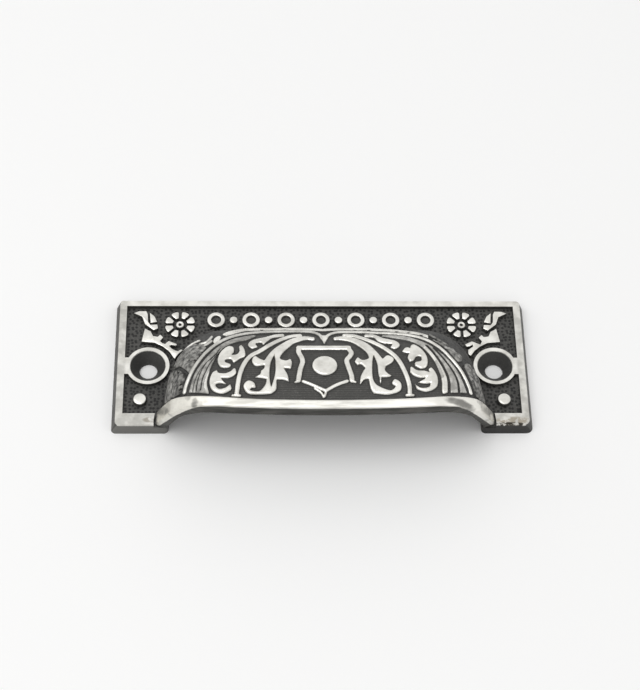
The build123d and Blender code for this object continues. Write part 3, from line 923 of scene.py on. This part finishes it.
def plate_metal(name):
    """The finish of the plate and its ornament, bright on what reaches the plate's top face."""
    metal = CastMetal(name)
    across = metal.maths("ABSOLUTE", metal.x)
    front = metal.ramp(metal.y, FRONT_EDGE_Y, FRONT_EDGE_Y - 0.2)
    height = metal.weigh(front, 0.3, metal.weigh(metal.fine, 0.16, metal.z))
    high_share = metal.ramp(height, THICKNESS - 0.14, THICKNESS + 0.04)
    # The borders at the ends and along the front are less rubbed, with flaws at the hood's feet
    low = metal.ramp(metal.y, FRONT_BORDER_Y, FRONT_BORDER_Y - 0.6)
    dull = metal.maths("MAXIMUM", metal.ramp(across, WINDOW_X - 0.6, WINDOW_X + 0.2), low)
    cloud = metal.weigh(metal.ramp(metal.noise(330, 4), 0.35, 0.65), 0.45, 0.15)
    metal.bright = metal.blend(metal.times(dull, cloud), metal.bright, BORDER_METAL)
    speckle = metal.ramp(metal.noise(620, 5, 0.65), 0.38, 0.52)
    for middle, reach, strength, colour in BORDER_FLAWS:
        flaw = metal.times(metal.ramp(metal.oval(middle, reach), 1.1, 0.3), speckle)
        metal.bright = metal.blend(metal.times(flaw, strength), metal.bright, colour)
    # The front face, dark with patina and painted shade, and greyer to the left with painted light
    face = metal.blend(metal.ramp(metal.x, 30, -50), PATINA_AND_SHADE_BLACK, FRONT_PAINTED_LIGHT_GREY)
    metal.stain(metal.times(front, 0.8), face)
    # The stipple is on the sunk ground alone, and not in the countersinks
    off_ground = metal.maths("ABSOLUTE", metal.minus(metal.z, THICKNESS - chosen_size("ground_depth")))
    pit = metal.times(metal.stipple("2D", 0.46, 0.2), metal.ramp(off_ground, 0.3, 0.1))
    pit = metal.times(pit, metal.ramp(across, WINDOW_X + 0.2, WINDOW_X - 0.1))
    beside = metal.maths("ABSOLUTE", metal.minus(metal.y, GROUND_MIDDLE))
    pit = metal.times(pit, metal.ramp(beside, GROUND_REACH + 0.3, GROUND_REACH))
    off_hole = metal.maths("POWER", metal.minus(across, HOLE_X), 2)
    off_hole = metal.plus(off_hole, metal.maths("POWER", metal.y, 2))
    cone = metal.ramp(off_hole, 27, 21)
    # Painted shade darkens the countersinks
    metal.stain(metal.times(cone, 0.55), CONE_SHADE_BLACK)
    metal.stain(metal.times(metal.times(pit, metal.minus(1.0, cone)), 0.9), PIT_BLACK)
    return metal.worn(high_share)


def polished_metal(name):
    """The lip's finish: soft streaks along it, blotches at its ends, painted dark reflections at its
    corners, a painted sheen on its right half and a front face darkened by patina and painted shade.
    """
    metal = Finish(name)
    streak = metal.noise(900, 4, 0.6, (0.16, 1, 1))
    blotch = metal.noise(210, 3)
    ends = metal.ramp(metal.maths("ABSOLUTE", metal.x), 27, 31)
    colour = metal.blend(metal.ramp(streak, 0.32, 0.68), LIP_WORN, LIP_BRIGHT)
    colour = metal.blend(metal.times(ends, 0.7), colour, LIP_CREAM)
    # A painted sheen brightens the lip's right half
    colour = metal.blend(metal.times(metal.ramp(metal.x, 4, 18), 0.6), colour, LIP_PAINTED_SHEEN)
    patch = metal.times(metal.ramp(blotch, 0.52, 0.64), ends)
    colour = metal.blend(metal.times(patch, 0.45), colour, LIP_BLOTCH)
    # Painted dark reflections near the lip's corners
    for middle, reach in LIP_DARK_REFLECTIONS:
        spot = metal.plus(metal.oval(middle, reach), metal.times(blotch, 1.2))
        spot = metal.ramp(metal.weigh(streak, 1.8, spot), 2.9, 1.5)
        colour = metal.blend(metal.times(spot, 0.8), colour, LIP_REFLECTION_DARK)
    band = metal.ramp(metal.weigh(streak, 0.25, metal.attribute("high")), 0.22, 0.62)
    # The front face is dark with patina and painted shade
    under = metal.blend(metal.ramp(streak, 0.35, 0.7), LIP_FRONT_PATINA_SHADE_DARK, LIP_FRONT_PATINA_SHADE_GREY)
    rough = metal.weigh(metal.minus(1.0, band), 0.25, metal.weigh(streak, 0.2, 0.26))
    return metal.ready(metal.blend(band, under, colour), 0.9, rough, streak, 0.2, 0.00008)


def material_of(name, make):
    """The material of a name, made the first time it is asked for."""
    return bpy.data.materials.get(name) or make(name)


# Pieces

# Stations on a leg, a corner and half the crown
HOOD_STATIONS = (14, 90, 128)
LIP_STATIONS = (24, 48, 60)
HOOD_ROWS = 168
WALL_ROWS = 12
# The plain back of the hood takes this part of the turn, with this part of the rows
PLAIN_TURN = 0.28
PLAIN_ROWS = 0.12
# How far behind the lip's front the shell ends, and the depth at which its ground is worked out
HOOD_FRONT = 1.3
PROBE_DEPTH = 1.0
# How far outside its outline a shape starts to rise
OUTLINE_SOFT = 0.19


def loops(columns, count):
    """Faces of a tube of columns, each a closed ring of points, with both ends closed."""
    faces = []
    for i in range(columns - 1):
        a, b = i * count, (i + 1) * count
        for j in range(count):
            k = (j + 1) % count
            faces.append((a + j, b + j, b + k, a + k))
    faces.append(tuple(range(count)))
    faces.append(tuple((columns - 1) * count + j for j in reversed(range(count))))
    return faces


def give(piece, name, values):
    """Gives a piece an attribute with a value for each point."""
    attribute = piece.data.attributes.new(name, "FLOAT", "POINT")
    attribute.data.foreach_set("value", np.asarray(values, float).ravel())


def hood_rows(side, outside, wall):
    """The turns of a station's rows: over the outside from back to front, then back along the inside."""
    back_turn = turn_at_height(outside[1], -THICKNESS + 0.25)
    front_turn = max(turn_at_back(side, *outside, HOOD_FRONT), back_turn + 0.002)
    turns = []
    for k in range(HOOD_ROWS + 1):
        v = k / HOOD_ROWS
        if v < PLAIN_ROWS:
            share = v / PLAIN_ROWS * PLAIN_TURN
        else:
            share = PLAIN_TURN + (v - PLAIN_ROWS) / (1 - PLAIN_ROWS) * (1 - PLAIN_TURN)
        turns.append(back_turn + (front_turn - back_turn) * share)
    back_turn = turn_at_height(wall[1], -THICKNESS + 0.03)
    front_turn = max(turn_at_back(side, *wall, HOOD_FRONT), back_turn + 0.001)
    for k in range(WALL_ROWS + 1):
        turns.append(front_turn + (back_turn - front_turn) * k / WALL_ROWS)
    return turns


def build_hood():
    """The hood's shell with its carved face."""
    relief = chosen_size("relief")
    line = stations(*HOOD_STATIONS)
    deep = relief + chosen_size("wall") - 0.03
    columns, rows = len(line), HOOD_ROWS + 1
    count = rows + WALL_ROWS + 1
    points = np.zeros((columns, count, 3))
    low = np.zeros((columns, rows, 3))
    for i, (side, part, share) in enumerate(line):
        outside = section(side, part, share, 0)
        under = section(side, part, share, PROBE_DEPTH)
        wall = section(side, part, share, wall_at(part, share, deep))
        for j, turn in enumerate(hood_rows(side, outside, wall)):
            points[i, j] = on_hood(side, *(outside if j < rows else wall), turn)
            if j < rows:
                low[i, j] = on_hood(side, *under, turn)
    face = points[:, :rows]
    x, y, z = face.reshape(-1, 3).T
    draw = Drawing(drawn_places(face[..., :2].reshape(-1, 2)))
    draw_drapery(draw)
    draw_shield(draw)
    draw_right_leaves(draw)
    draw_left_leaves(draw)
    # A narrow dark gap parts the carving from the lip
    back = y + LEAN * z - LIP_FRONT - LIP_BOW * (x / HALF_HOOD) ** 2
    field = np.minimum(draw.field, back - lip_width(x - SHIFT) - LIP_GAP).reshape(columns, rows)
    edge = OUTLINE_SOFT + chosen_size("shoulder")
    rise = np.sin(np.clip((field + OUTLINE_SOFT) / edge, 0, 1) * pi / 2)
    face += (low - face) * (relief * (1 - rise) / PROBE_DEPTH)[..., None]
    under_rope = inside(draw.places, np.array(ROPE_LEFT[::-1] + ROPE_RIGHT + [(36.5, -30), (-35, -30)]))
    piece = new_piece("hood_carving", points.reshape(-1, 3), (), loops(columns, count))
    for name, values, elsewhere in (
        ("high", rise, 0),
        ("rub", draw.tones.reshape(columns, rows), 1),
        # The crevice attribute darkens the foot of the carving with patina and painted shade
        ("crevice_patina_and_shade", np.exp(np.minimum(field + 0.05, 0) / 0.32) * (field < 0.1), 0),
        ("bare", 1 - under_rope.reshape(columns, rows), 0),
    ):
        everywhere = np.full((columns, count), float(elsewhere))
        everywhere[:, :rows] = values
        give(piece, name, everywhere)
    tidy(piece, 60)
    belongs(piece, material_of("Carved face", carved_metal))
    return piece


LIP_SOFT = 0.42
LIP_HEEL = 0.3


def lip_ring(deep):
    """The lip's section as (back, depth, polish), from its top edge down the front and round to the top."""
    soft, heel = LIP_SOFT, LIP_HEEL
    ring = []
    for k in range(7):
        angle = pi / 2 * k / 6
        depth = soft - soft * cos(angle)
        ring.append((soft - soft * sin(angle) - PLUMB * depth, depth, 1 - k / 6))
    for k in range(1, 9):
        depth = soft + (deep - heel - soft) * k / 8
        ring.append((-PLUMB * depth, depth, 0))
    for k in range(1, 4):
        angle = pi / 2 * k / 3
        ring.append((-PLUMB * deep + heel - heel * cos(angle), deep - heel + heel * sin(angle), 0))
    for k in range(1, 5):
        ring.append((-PLUMB * deep + heel + (LIP_WIDTH + PLUMB * deep - heel) * k / 4, deep, 0))
    ring += [(LIP_WIDTH, deep * 0.7, 0), (LIP_WIDTH, deep * 0.45, 0), (LIP_WIDTH + 0.05, 0.75, 0)]
    for k in range(6):
        angle = pi / 2 * k / 5
        ring.append((LIP_WIDTH - heel + heel * cos(angle), heel - heel * sin(angle), k / 5))
    for k in range(1, 6):
        ring.append((LIP_WIDTH - heel - (LIP_WIDTH - heel - soft) * k / 6, 0.0, 1))
    return ring


def lip_polish(x, z, back, depth, bright):
    """How polished a place of the lip is: its top, and towards the ends its front too, above the plate."""
    reach = min(max((abs(x - SHIFT) - 31) / 5, 0), 1) * (0.9 + 0.6 * min(max(z, 0) / 12, 1))
    front = min(max((reach - depth) / 0.35 + 0.5, 0), 1) * (back < 1) * (reach > 0)
    return max(bright, front) * min(max((z + 0.7) / 0.8, 0), 1)


def build_lip():
    """The polished lip, swept from foot to foot of the hood's mouth."""
    deep = chosen_size("relief") + chosen_size("wall") + LIP_DEEPER
    ring = lip_ring(deep)
    line = stations(*LIP_STATIONS)
    points, high = [], []
    for side, part, share in line:
        top_width = float(lip_width(side * section(side, part, share, 0)[0]))
        thinned_deep = wall_at(part, share, deep)
        for back, depth, bright in ring:
            if back > LIP_SOFT:
                back = LIP_SOFT + (back - LIP_SOFT) * (top_width - LIP_SOFT) / (LIP_WIDTH - LIP_SOFT)
            if depth > LIP_SOFT:
                # The front face thins with the wall
                thinned = LIP_SOFT + (depth - LIP_SOFT) * (thinned_deep - LIP_SOFT) / (deep - LIP_SOFT)
                back += PLUMB * (depth - thinned) if back < 0 else 0
                depth = thinned
            if part == "leg":
                point = leg_point(side, share, depth, back)
            else:
                x, radius = section(side, part, share, depth)
                point = on_hood(side, x, radius, turn_at_back(side, x, radius, back))
            points.append(point)
            high.append(lip_polish(point[0], point[2], back, depth, bright))
    piece = new_piece("lip", points, (), loops(len(line), len(ring)))
    give(piece, "high", high)
    tidy(piece, 60)
    belongs(piece, material_of("Polished lip", polished_metal))
    return piece


def leg_point(side, share, depth, back):
    """A point of the lip on a leg, by its share of the height from the plate's back to the corner."""
    slope = LEG_SLOPE[side]
    x, radius = section(side, "corner", 0, depth)
    top = on_hood(side, x, radius, turn_at_back(side, x, radius, back))[2]
    z = FOOT_Z + share * (top - FOOT_Z)
    for _ in range(5):
        y = lip_line(side, x) + back - LEAN * z
        radius = hypot(y - AXIS_Y, z - AXIS_Z)
        x = HALF_HOOD - depth / cos(slope) - max(radius + AXIS_Z, 0) * tan(slope)
    return SHIFT + side * x, y, z


# Backplate

def arc(x, y, radius, start, end, steps):
    """Points of an arc in the plan, with its angles in degrees."""
    return [
        (x + radius * cos(radians(start + (end - start) * k / steps)),
         y + radius * sin(radians(start + (end - start) * k / steps)))
        for k in range(steps + 1)
    ]


# Corner radii by the side in x and in y
PLATE_CORNERS = {(1, -1): 1.7, (-1, -1): 1.1, (1, 1): 0.9, (-1, 1): 0.7}
WINDOW_X = 50.4
WINDOW_TOP = 17.1
WINDOW_LOW = -15.3
HOLE_X = 44.45
BOSS = 5.5
END_DRAFT = 1.15
SIDE_DRAFT = 0.5
FOOT_ROUND = 1.2
BRIDGE = 2.45
# Half the section of the screw hole and its countersink, as (radius, height)
DRILL = [(0, -6), (2.3, -6), (2.3, -2.65), (4.6, 0), (5.0, 0.46), (0, 0.46)]


def window():
    """The outline of the sunk ground, with the bosses and their bridges left standing.

    At the hood's feet it runs out to the front as a narrow gap between border and lip."""
    turn = degrees(asin(BRIDGE / BOSS))
    outline = []
    for side, gap in ((1, 43.6), (-1, 42.4)):
        half = [(gap - 3, -22), (gap, -22), (gap + 0.1, -17.4), (gap - 0.15, WINDOW_LOW)]
        half += [(WINDOW_X, WINDOW_LOW), (WINDOW_X, -HOLE_DROP - BRIDGE)]
        half += arc(HOLE_X, -HOLE_DROP, BOSS, -turn, -360 + turn, 40)
        half += [(WINDOW_X, -HOLE_DROP + BRIDGE), (WINDOW_X, WINDOW_TOP)]
        half = [(side * x, y) for x, y in half]
        outline += half if side > 0 else half[::-1]
    return outline + [(-39.4, -12), (37, -12)]


def slab(name, outline, low, high):
    """A straight block over an outline, for cutting."""
    count = len(outline)
    points = [(x, y, low) for x, y in outline] + [(x, y, high) for x, y in outline]
    faces = [tuple(reversed(range(count))), tuple(range(count, 2 * count))]
    faces += [(k, (k + 1) % count, (k + 1) % count + count, k + count) for k in range(count)]
    return tidy(new_piece(name, points, (), faces))


def build_plate():
    """The backplate: borders and bosses round a sunk ground, countersunk holes and the hood's mouth."""
    deep = chosen_size("relief") + chosen_size("wall")
    deselect()
    middle = Vector(place([(0, 0, -THICKNESS / 2)])[0])
    size = Vector((2 * HALF_LENGTH, 2 * HALF_WIDTH, THICKNESS)) * MM
    bpy.ops.mesh.primitive_cube_add(size=1, location=middle, scale=size)
    piece = bpy.context.object
    piece.name = piece.data.name = "backplate"
    bpy.ops.object.transform_apply(location=True, rotation=True, scale=True)
    for vertex in piece.data.vertices:
        if vertex.co.z > MM:
            vertex.co.x *= 1 - END_DRAFT / HALF_LENGTH
            vertex.co.y -= (SIDE_DRAFT if vertex.co.y > 0 else -SIDE_DRAFT) * MM
    for (x_side, y_side), radius in PLATE_CORNERS.items():
        bpy.ops.object.mode_set(mode="EDIT")
        bpy.ops.mesh.select_mode(type="EDGE")
        bpy.ops.mesh.select_all(action="DESELECT")
        bpy.ops.object.mode_set(mode="OBJECT")
        for edge in piece.data.edges:
            a, b = (piece.data.vertices[k].co for k in edge.vertices)
            edge.select = abs(a.z - b.z) > MM and a.x * x_side > 0 and a.y * y_side > 0
        bpy.ops.object.mode_set(mode="EDIT")
        bpy.ops.mesh.bevel(offset=radius * MM, segments=8, affect="EDGES")
        bpy.ops.object.mode_set(mode="OBJECT")
    cut(piece, slab("window_cutter", window(), -chosen_size("ground_depth"), 1))
    cut(piece, hollow(deep))
    for side in (-1, 1):
        # The rounded inner corner of a foot
        x = SHIFT + side * (HALF_HOOD - deep / cos(LEG_SLOPE[side]))
        y = -HALF_WIDTH
        bend = arc(side * x + FOOT_ROUND, y + FOOT_ROUND, FOOT_ROUND, 180, 270, 6)
        bend = [(side * a, b) for a, b in bend]
        cut(piece, slab("foot_cutter", bend + [(x + side * FOOT_ROUND, y - 1), (x - side, y - 1)], -5, 1))
        drill = spun("drill", DRILL, side * HOLE_X, -HOLE_DROP, 64)
        cut(piece, drill)
    activate(piece)
    worn = piece.modifiers.new("Worn", "BEVEL")
    worn.width = 0.2 * MM
    worn.segments = 3
    worn.limit_method = "ANGLE"
    worn.angle_limit = radians(35)
    bpy.ops.object.modifier_apply(modifier=worn.name)
    tidy(piece, 35)
    belongs(piece, material_of("Plate metal", plate_metal))
    return piece


def hollow(deep):
    """The turned form that opens the plate under the hood, deep under the hood's highest surface."""
    halves = {}
    for side in (-1, 1):
        profile = []
        for part, steps in (("leg", 8), ("corner", 24), ("crown", 4)):
            profile += [section(side, part, k / steps, deep) for k in range(steps)]
        halves[side] = [(side * x, r) for x, r in [(profile[0][0], 0.0)] + profile]
    full = halves[1] + halves[-1][::-1]
    points = [(SHIFT + x, AXIS_Y + r, AXIS_Z) for x, r in full]
    piece = new_piece("hollow_cutter", points, [(k, k + 1) for k in range(len(points) - 1)])
    activate(piece)
    bpy.ops.object.mode_set(mode="EDIT")
    bpy.ops.mesh.select_all(action="SELECT")
    centre = tuple(place([(0, AXIS_Y, AXIS_Z)])[0])
    bpy.ops.mesh.spin(steps=120, angle=2 * pi, center=centre, axis=(1, 0, 0))
    bpy.ops.object.mode_set(mode="OBJECT")
    return tidy(piece)


# Ornament of the plate

ROW_Y = 12.9
PITCH = 9.08


def build_row():
    """The row of rings with pearls between them."""
    low = -chosen_size("ground_depth") - 0.1
    ring = spun(
        "ring",
        [(2.36, low), (2.33, -0.22), (2.2, -0.06), (1.96, 0), (1.6, 0), (1.36, -0.06), (1.22, -0.22),
         (1.14, -0.75), (0.7, -0.95), (0, -0.98), (0, low), (2.36, low)],
        0, ROW_Y, 40,
    )
    rings = [copy_to(ring, "ring", (k - 3) * PITCH, 0) for k in range(7)]
    bpy.data.objects.remove(ring)
    pearl = spun(
        "pearl",
        [(1.1, low), (1.08, -0.3), (0.97, -0.11), (0.72, -0.02), (0.4, 0), (0, 0), (0, low), (1.1, low)],
        0, ROW_Y, 28,
    )
    pearls = [copy_to(pearl, "pearl", (k - 2.5) * PITCH, 0) for k in range(6)]
    bpy.data.objects.remove(pearl)
    for name, pieces in (("rings", rings), ("pearls", pearls)):
        belongs(join(name, pieces), material_of("Plate metal", plate_metal))


def petal_outline(turn):
    """One petal of a rosette in the plan: a wedge between two even gaps, with a rounded end."""
    gap, inner, outer = 0.36, 1.95, 3.92
    half = radians(22.5)
    shape = []
    for r, lift in (
        (inner, 0.0), (outer - 0.55, 0.0), (outer - 0.2, 0.1), (outer - 0.03, 0.42), (outer, 0.8),
    ):
        side = half - asin((gap + lift) / r)
        shape.append((r, side))
    shape += [(r, -a) for r, a in reversed(shape)]
    return [(r * cos(a + radians(turn)), r * sin(a + radians(turn))) for r, a in shape]


def build_rosettes():
    """The two flowers of eight petals."""
    low = -chosen_size("ground_depth") - 0.1
    x, y = -36.55, 11.4
    parts = []
    for k in range(8):
        outline = [(x + a, y + b) for a, b in petal_outline(22.5 + 45 * k)]
        parts.append(raised("petal", outline, low, 0.14))
    parts.append(
        spun(
            "hub",
            [(1.1, low), (1.08, -0.25), (0.9, -0.03), (0.6, 0), (0.42, -0.12), (0.38, -0.6), (0, -0.6),
             (0, low), (1.1, low)],
            x, y, 28,
        )
    )
    flower = join("rosette_left", parts)
    other = copy_to(flower, "rosette_right", 0, 0, mirrored=True)
    belongs(flower, material_of("Plate metal", plate_metal))
    belongs(other, material_of("Plate metal", plate_metal))


def build_sprays():
    """The leaf sprays over the screw holes, and the buttons under them."""
    low = -chosen_size("ground_depth") - 0.1
    hook = [(-48.6, 14.9), (-47.3, 15.5), (-45.4, 15.5), (-45, 14.6), (-44.8, 12.2), (-44.2, 11.3),
            (-42.4, 11.4), (-42.2, 10.2), (-43.3, 9.6), (-45.6, 11.5), (-46.4, 13.8)]
    petal = [(-44.5, 15.1), (-43.2, 13.9), (-42.5, 12.2), (-44.2, 11.8)]
    block = [(-46.3, 6.1), (-45.6, 10.2), (-44, 9.2), (-43.4, 7.8), (-42.2, 7.6), (-41.6, 8.3), (-40.8, 7.4),
             (-41.6, 6.3)]
    left_stem = [(-40.9, 5.6), (-40.2, 5.4), (-39.9, 5.8), (-39.3, 6.3), (-37.2, 5.4), (-37.4, 4.8),
                 (-38.6, 5.1), (-39.2, 4.8), (-38.5, 4.0), (-37.6, 3.4), (-36.9, 3.2), (-36.1, 3.8),
                 (-35.6, 3.5), (-36.8, 2.3), (-37.7, 0.8), (-38.3, 1.8), (-39.2, 3.2), (-40.8, 4.6),
                 (-43, 5.8)]
    right_stem = [(41.1, 5.3), (40.2, 5.7), (39.0, 6.3), (37.1, 5.3), (37.6, 4.6), (38.4, 4.8), (39.1, 5.3),
                  (39.2, 4.7), (37.9, 3.7), (37.8, 2.5), (38.4, 1.8), (39.5, 3.4), (40.9, 4.6), (43, 5.8)]
    left = (hook, petal, block + left_stem)
    right = [[(-x, y) for x, y in shape] for shape in (hook, petal, block)]
    right[2] += right_stem
    spray = join("spray_left", [raised("spray", shape, low, 0.12) for shape in left])
    other = join("spray_right", [raised("spray", shape[::-1], low, 0.12) for shape in right])
    button = spun(
        "button_left",
        [(1.75, low), (1.72, -0.35), (1.55, -0.1), (1.25, 0), (0.6, 0.0), (0, 0.0), (0, low), (1.75, low)],
        -46.2, -11, 36,
    )
    second = copy_to(button, "button_right", 0, 0, mirrored=True)
    for piece in (spray, other, button, second):
        belongs(piece, material_of("Plate metal", plate_metal))


# Stage

FLOOR_CLOUD = (0.98, 0.98, 0.975, 1)
AMBIENT_LIGHT = 0.63
SEEN_WHITE = 0.9
# Soft boxes as place in metres, size in metres and power in watts, all aimed at the pull
LAMPS = {
    "softbox_top": ((-0.38, -0.2, 1.2), 0.95, 5.8),
    "softbox_left": ((-0.9, 0.3, 0.7), 0.6, 0.6),
    "softbox_right": ((0.9, -0.2, 0.8), 0.6, 0.6),
}
# The photograph's camera: angles in degrees, offset and distance in millimetres, focal length in pixels
ELEVATION, YAW, ROLL = 57.434, 3.576, -3.067
OFFSET_RIGHT, OFFSET_UP, DISTANCE = 0.7008, 4.2434, 467.995
FOCAL_PIXELS = 1825.76
PICTURE_HEIGHT = 690
SENSOR_HEIGHT = 36


def build_stage():
    """Pale floor, soft light from above and the camera at the photograph's angle."""
    chosen = settings()
    scene = bpy.context.scene
    deselect()
    bpy.ops.mesh.primitive_plane_add(size=6, location=(0, 0, 0))
    floor = bpy.context.object
    floor.name = floor.data.name = "floor"
    bpy.ops.object.transform_apply(location=True, rotation=True, scale=True)
    material = bpy.data.materials.new("Pale floor")
    material.use_nodes = True
    tree = material.node_tree
    shader = tree.nodes["Principled BSDF"]
    place_on = node(tree, "ShaderNodeTexCoord", -900, 0).outputs["Object"]
    cloud = node(tree, "ShaderNodeTexNoise", -700, 0, Scale=6, Detail=2)
    tree.links.new(place_on, cloud.inputs["Vector"])
    tint = blend(tree, ramp(tree, cloud.outputs[0], 0.3, 0.7), tuple(chosen.floor), FLOOR_CLOUD)
    tree.links.new(tint, shader.inputs["Base Color"])
    shader.inputs["Roughness"].default_value = 0.9
    shader.inputs["Specular IOR Level"].default_value = 0.1
    floor.data.materials.append(material)

    world = bpy.data.worlds.new("Studio")
    scene.world = world
    world.use_nodes = True
    tree = world.node_tree
    tree.nodes.clear()
    out = node(tree, "ShaderNodeOutputWorld", 400, 0)
    ambient = node(tree, "ShaderNodeBackground", 0, 100, Color=(1, 1, 1, 1), Strength=AMBIENT_LIGHT)
    white = node(tree, "ShaderNodeBackground", 0, -100, Color=(1, 1, 1, 1), Strength=SEEN_WHITE)
    mix = node(tree, "ShaderNodeMixShader", 200, 0)
    path = node(tree, "ShaderNodeLightPath", -400, 200)
    seen = maths(tree, "MAXIMUM", path.outputs["Is Camera Ray"], path.outputs["Is Glossy Ray"])
    seen = maths(tree, "MAXIMUM", seen, path.outputs["Is Transmission Ray"])
    tree.links.new(seen, mix.inputs[0])
    tree.links.new(ambient.outputs[0], mix.inputs[1])
    tree.links.new(white.outputs[0], mix.inputs[2])
    tree.links.new(mix.outputs[0], out.inputs[0])

    for name, (spot, size, power) in LAMPS.items():
        lamp = bpy.data.lights.new(name, "AREA")
        lamp.shape = "SQUARE"
        lamp.size = size
        lamp.energy = power
        holder = bpy.data.objects.new(name, lamp)
        bpy.context.collection.objects.link(holder)
        holder.location = spot
        holder.rotation_euler = (-Vector(spot)).to_track_quat("-Z", "Y").to_euler()

    elevation, yaw, roll = radians(ELEVATION), radians(YAW), radians(ROLL)
    right = Vector((cos(yaw), -sin(yaw), 0))
    up = Vector((sin(yaw) * sin(elevation), cos(yaw) * sin(elevation), cos(elevation)))
    ahead = Vector((sin(yaw) * cos(elevation), cos(yaw) * cos(elevation), -sin(elevation)))
    spot = -OFFSET_RIGHT * right + OFFSET_UP * up - DISTANCE * ahead
    turned_right = right * cos(roll) - up * sin(roll)
    turned_up = right * sin(roll) + up * cos(roll)
    lens = bpy.data.cameras.new("camera")
    lens.sensor_fit = "VERTICAL"
    lens.sensor_height = SENSOR_HEIGHT
    lens.lens = FOCAL_PIXELS / PICTURE_HEIGHT * SENSOR_HEIGHT
    lens.clip_start = 0.01
    lens.clip_end = 50
    camera = bpy.data.objects.new("camera", lens)
    bpy.context.collection.objects.link(camera)
    axes = Matrix((turned_right, turned_up, -ahead)).transposed().to_4x4()
    camera.matrix_world = Matrix.Translation(Vector(place([spot])[0])) @ axes
    scene.camera = camera
    scene.view_settings.view_transform = "Standard"


class BINPULL_OT_backplate(bpy.types.Operator):
    """Makes the backplate with its borders, bosses and holes"""

    bl_idname = "binpull.backplate"
    bl_label = "Backplate"

    def execute(self, context):
        build_plate()
        return {"FINISHED"}


class BINPULL_OT_row(bpy.types.Operator):
    """Makes the row of rings and pearls along the top of the plate"""

    bl_idname = "binpull.row"
    bl_label = "Rings and pearls"

    def execute(self, context):
        build_row()
        return {"FINISHED"}


class BINPULL_OT_rosettes(bpy.types.Operator):
    """Makes the two flowers of eight petals"""

    bl_idname = "binpull.rosettes"
    bl_label = "Rosettes"

    def execute(self, context):
        build_rosettes()
        return {"FINISHED"}


class BINPULL_OT_sprays(bpy.types.Operator):
    """Makes the leaf sprays and the buttons at the ends of the plate"""

    bl_idname = "binpull.sprays"
    bl_label = "Sprays and buttons"

    def execute(self, context):
        build_sprays()
        return {"FINISHED"}


class BINPULL_OT_hood(bpy.types.Operator):
    """Makes the hood's shell with its carved face"""

    bl_idname = "binpull.hood"
    bl_label = "Carved hood"

    def execute(self, context):
        build_hood()
        return {"FINISHED"}


class BINPULL_OT_lip(bpy.types.Operator):
    """Makes the polished lip at the front of the hood"""

    bl_idname = "binpull.lip"
    bl_label = "Lip"

    def execute(self, context):
        build_lip()
        return {"FINISHED"}


class BINPULL_OT_stage(bpy.types.Operator):
    """Makes the pale floor, the soft lights and the camera"""

    bl_idname = "binpull.stage"
    bl_label = "Stage"

    def execute(self, context):
        build_stage()
        return {"FINISHED"}


class BINPULL_PT_panel(bpy.types.Panel):
    """Lists the sizes, colours and pieces of the bin pull"""

    bl_idname = "BINPULL_PT_panel"
    bl_label = "Bin pull"
    bl_space_type = "VIEW_3D"
    bl_region_type = "UI"
    bl_category = "Bin pull"

    def draw(self, context):
        layout = self.layout
        for name in BinPullSettings.__annotations__:
            layout.prop(context.scene.bin_pull, name)
        for operator in OPERATORS:
            layout.operator(operator.bl_idname)


OPERATORS = (
    BINPULL_OT_backplate,
    BINPULL_OT_row,
    BINPULL_OT_rosettes,
    BINPULL_OT_sprays,
    BINPULL_OT_hood,
    BINPULL_OT_lip,
    BINPULL_OT_stage,
)
CLASSES = (BinPullSettings, *OPERATORS, BINPULL_PT_panel)


def register():
    """Adds the classes and the settings to Blender."""
    for item in CLASSES:
        bpy.utils.register_class(item)
    bpy.types.Scene.bin_pull = bpy.props.PointerProperty(type=BinPullSettings)


def unregister():
    """Takes the classes and the settings out again."""
    del bpy.types.Scene.bin_pull
    for item in reversed(CLASSES):
        bpy.utils.unregister_class(item)


def main():
    """Makes every piece in order."""
    register()
    bpy.ops.binpull.backplate()
    bpy.ops.binpull.row()
    bpy.ops.binpull.rosettes()
    bpy.ops.binpull.sprays()
    bpy.ops.binpull.hood()
    bpy.ops.binpull.lip()
    bpy.ops.binpull.stage()


if __name__ == "__main__":
    main()
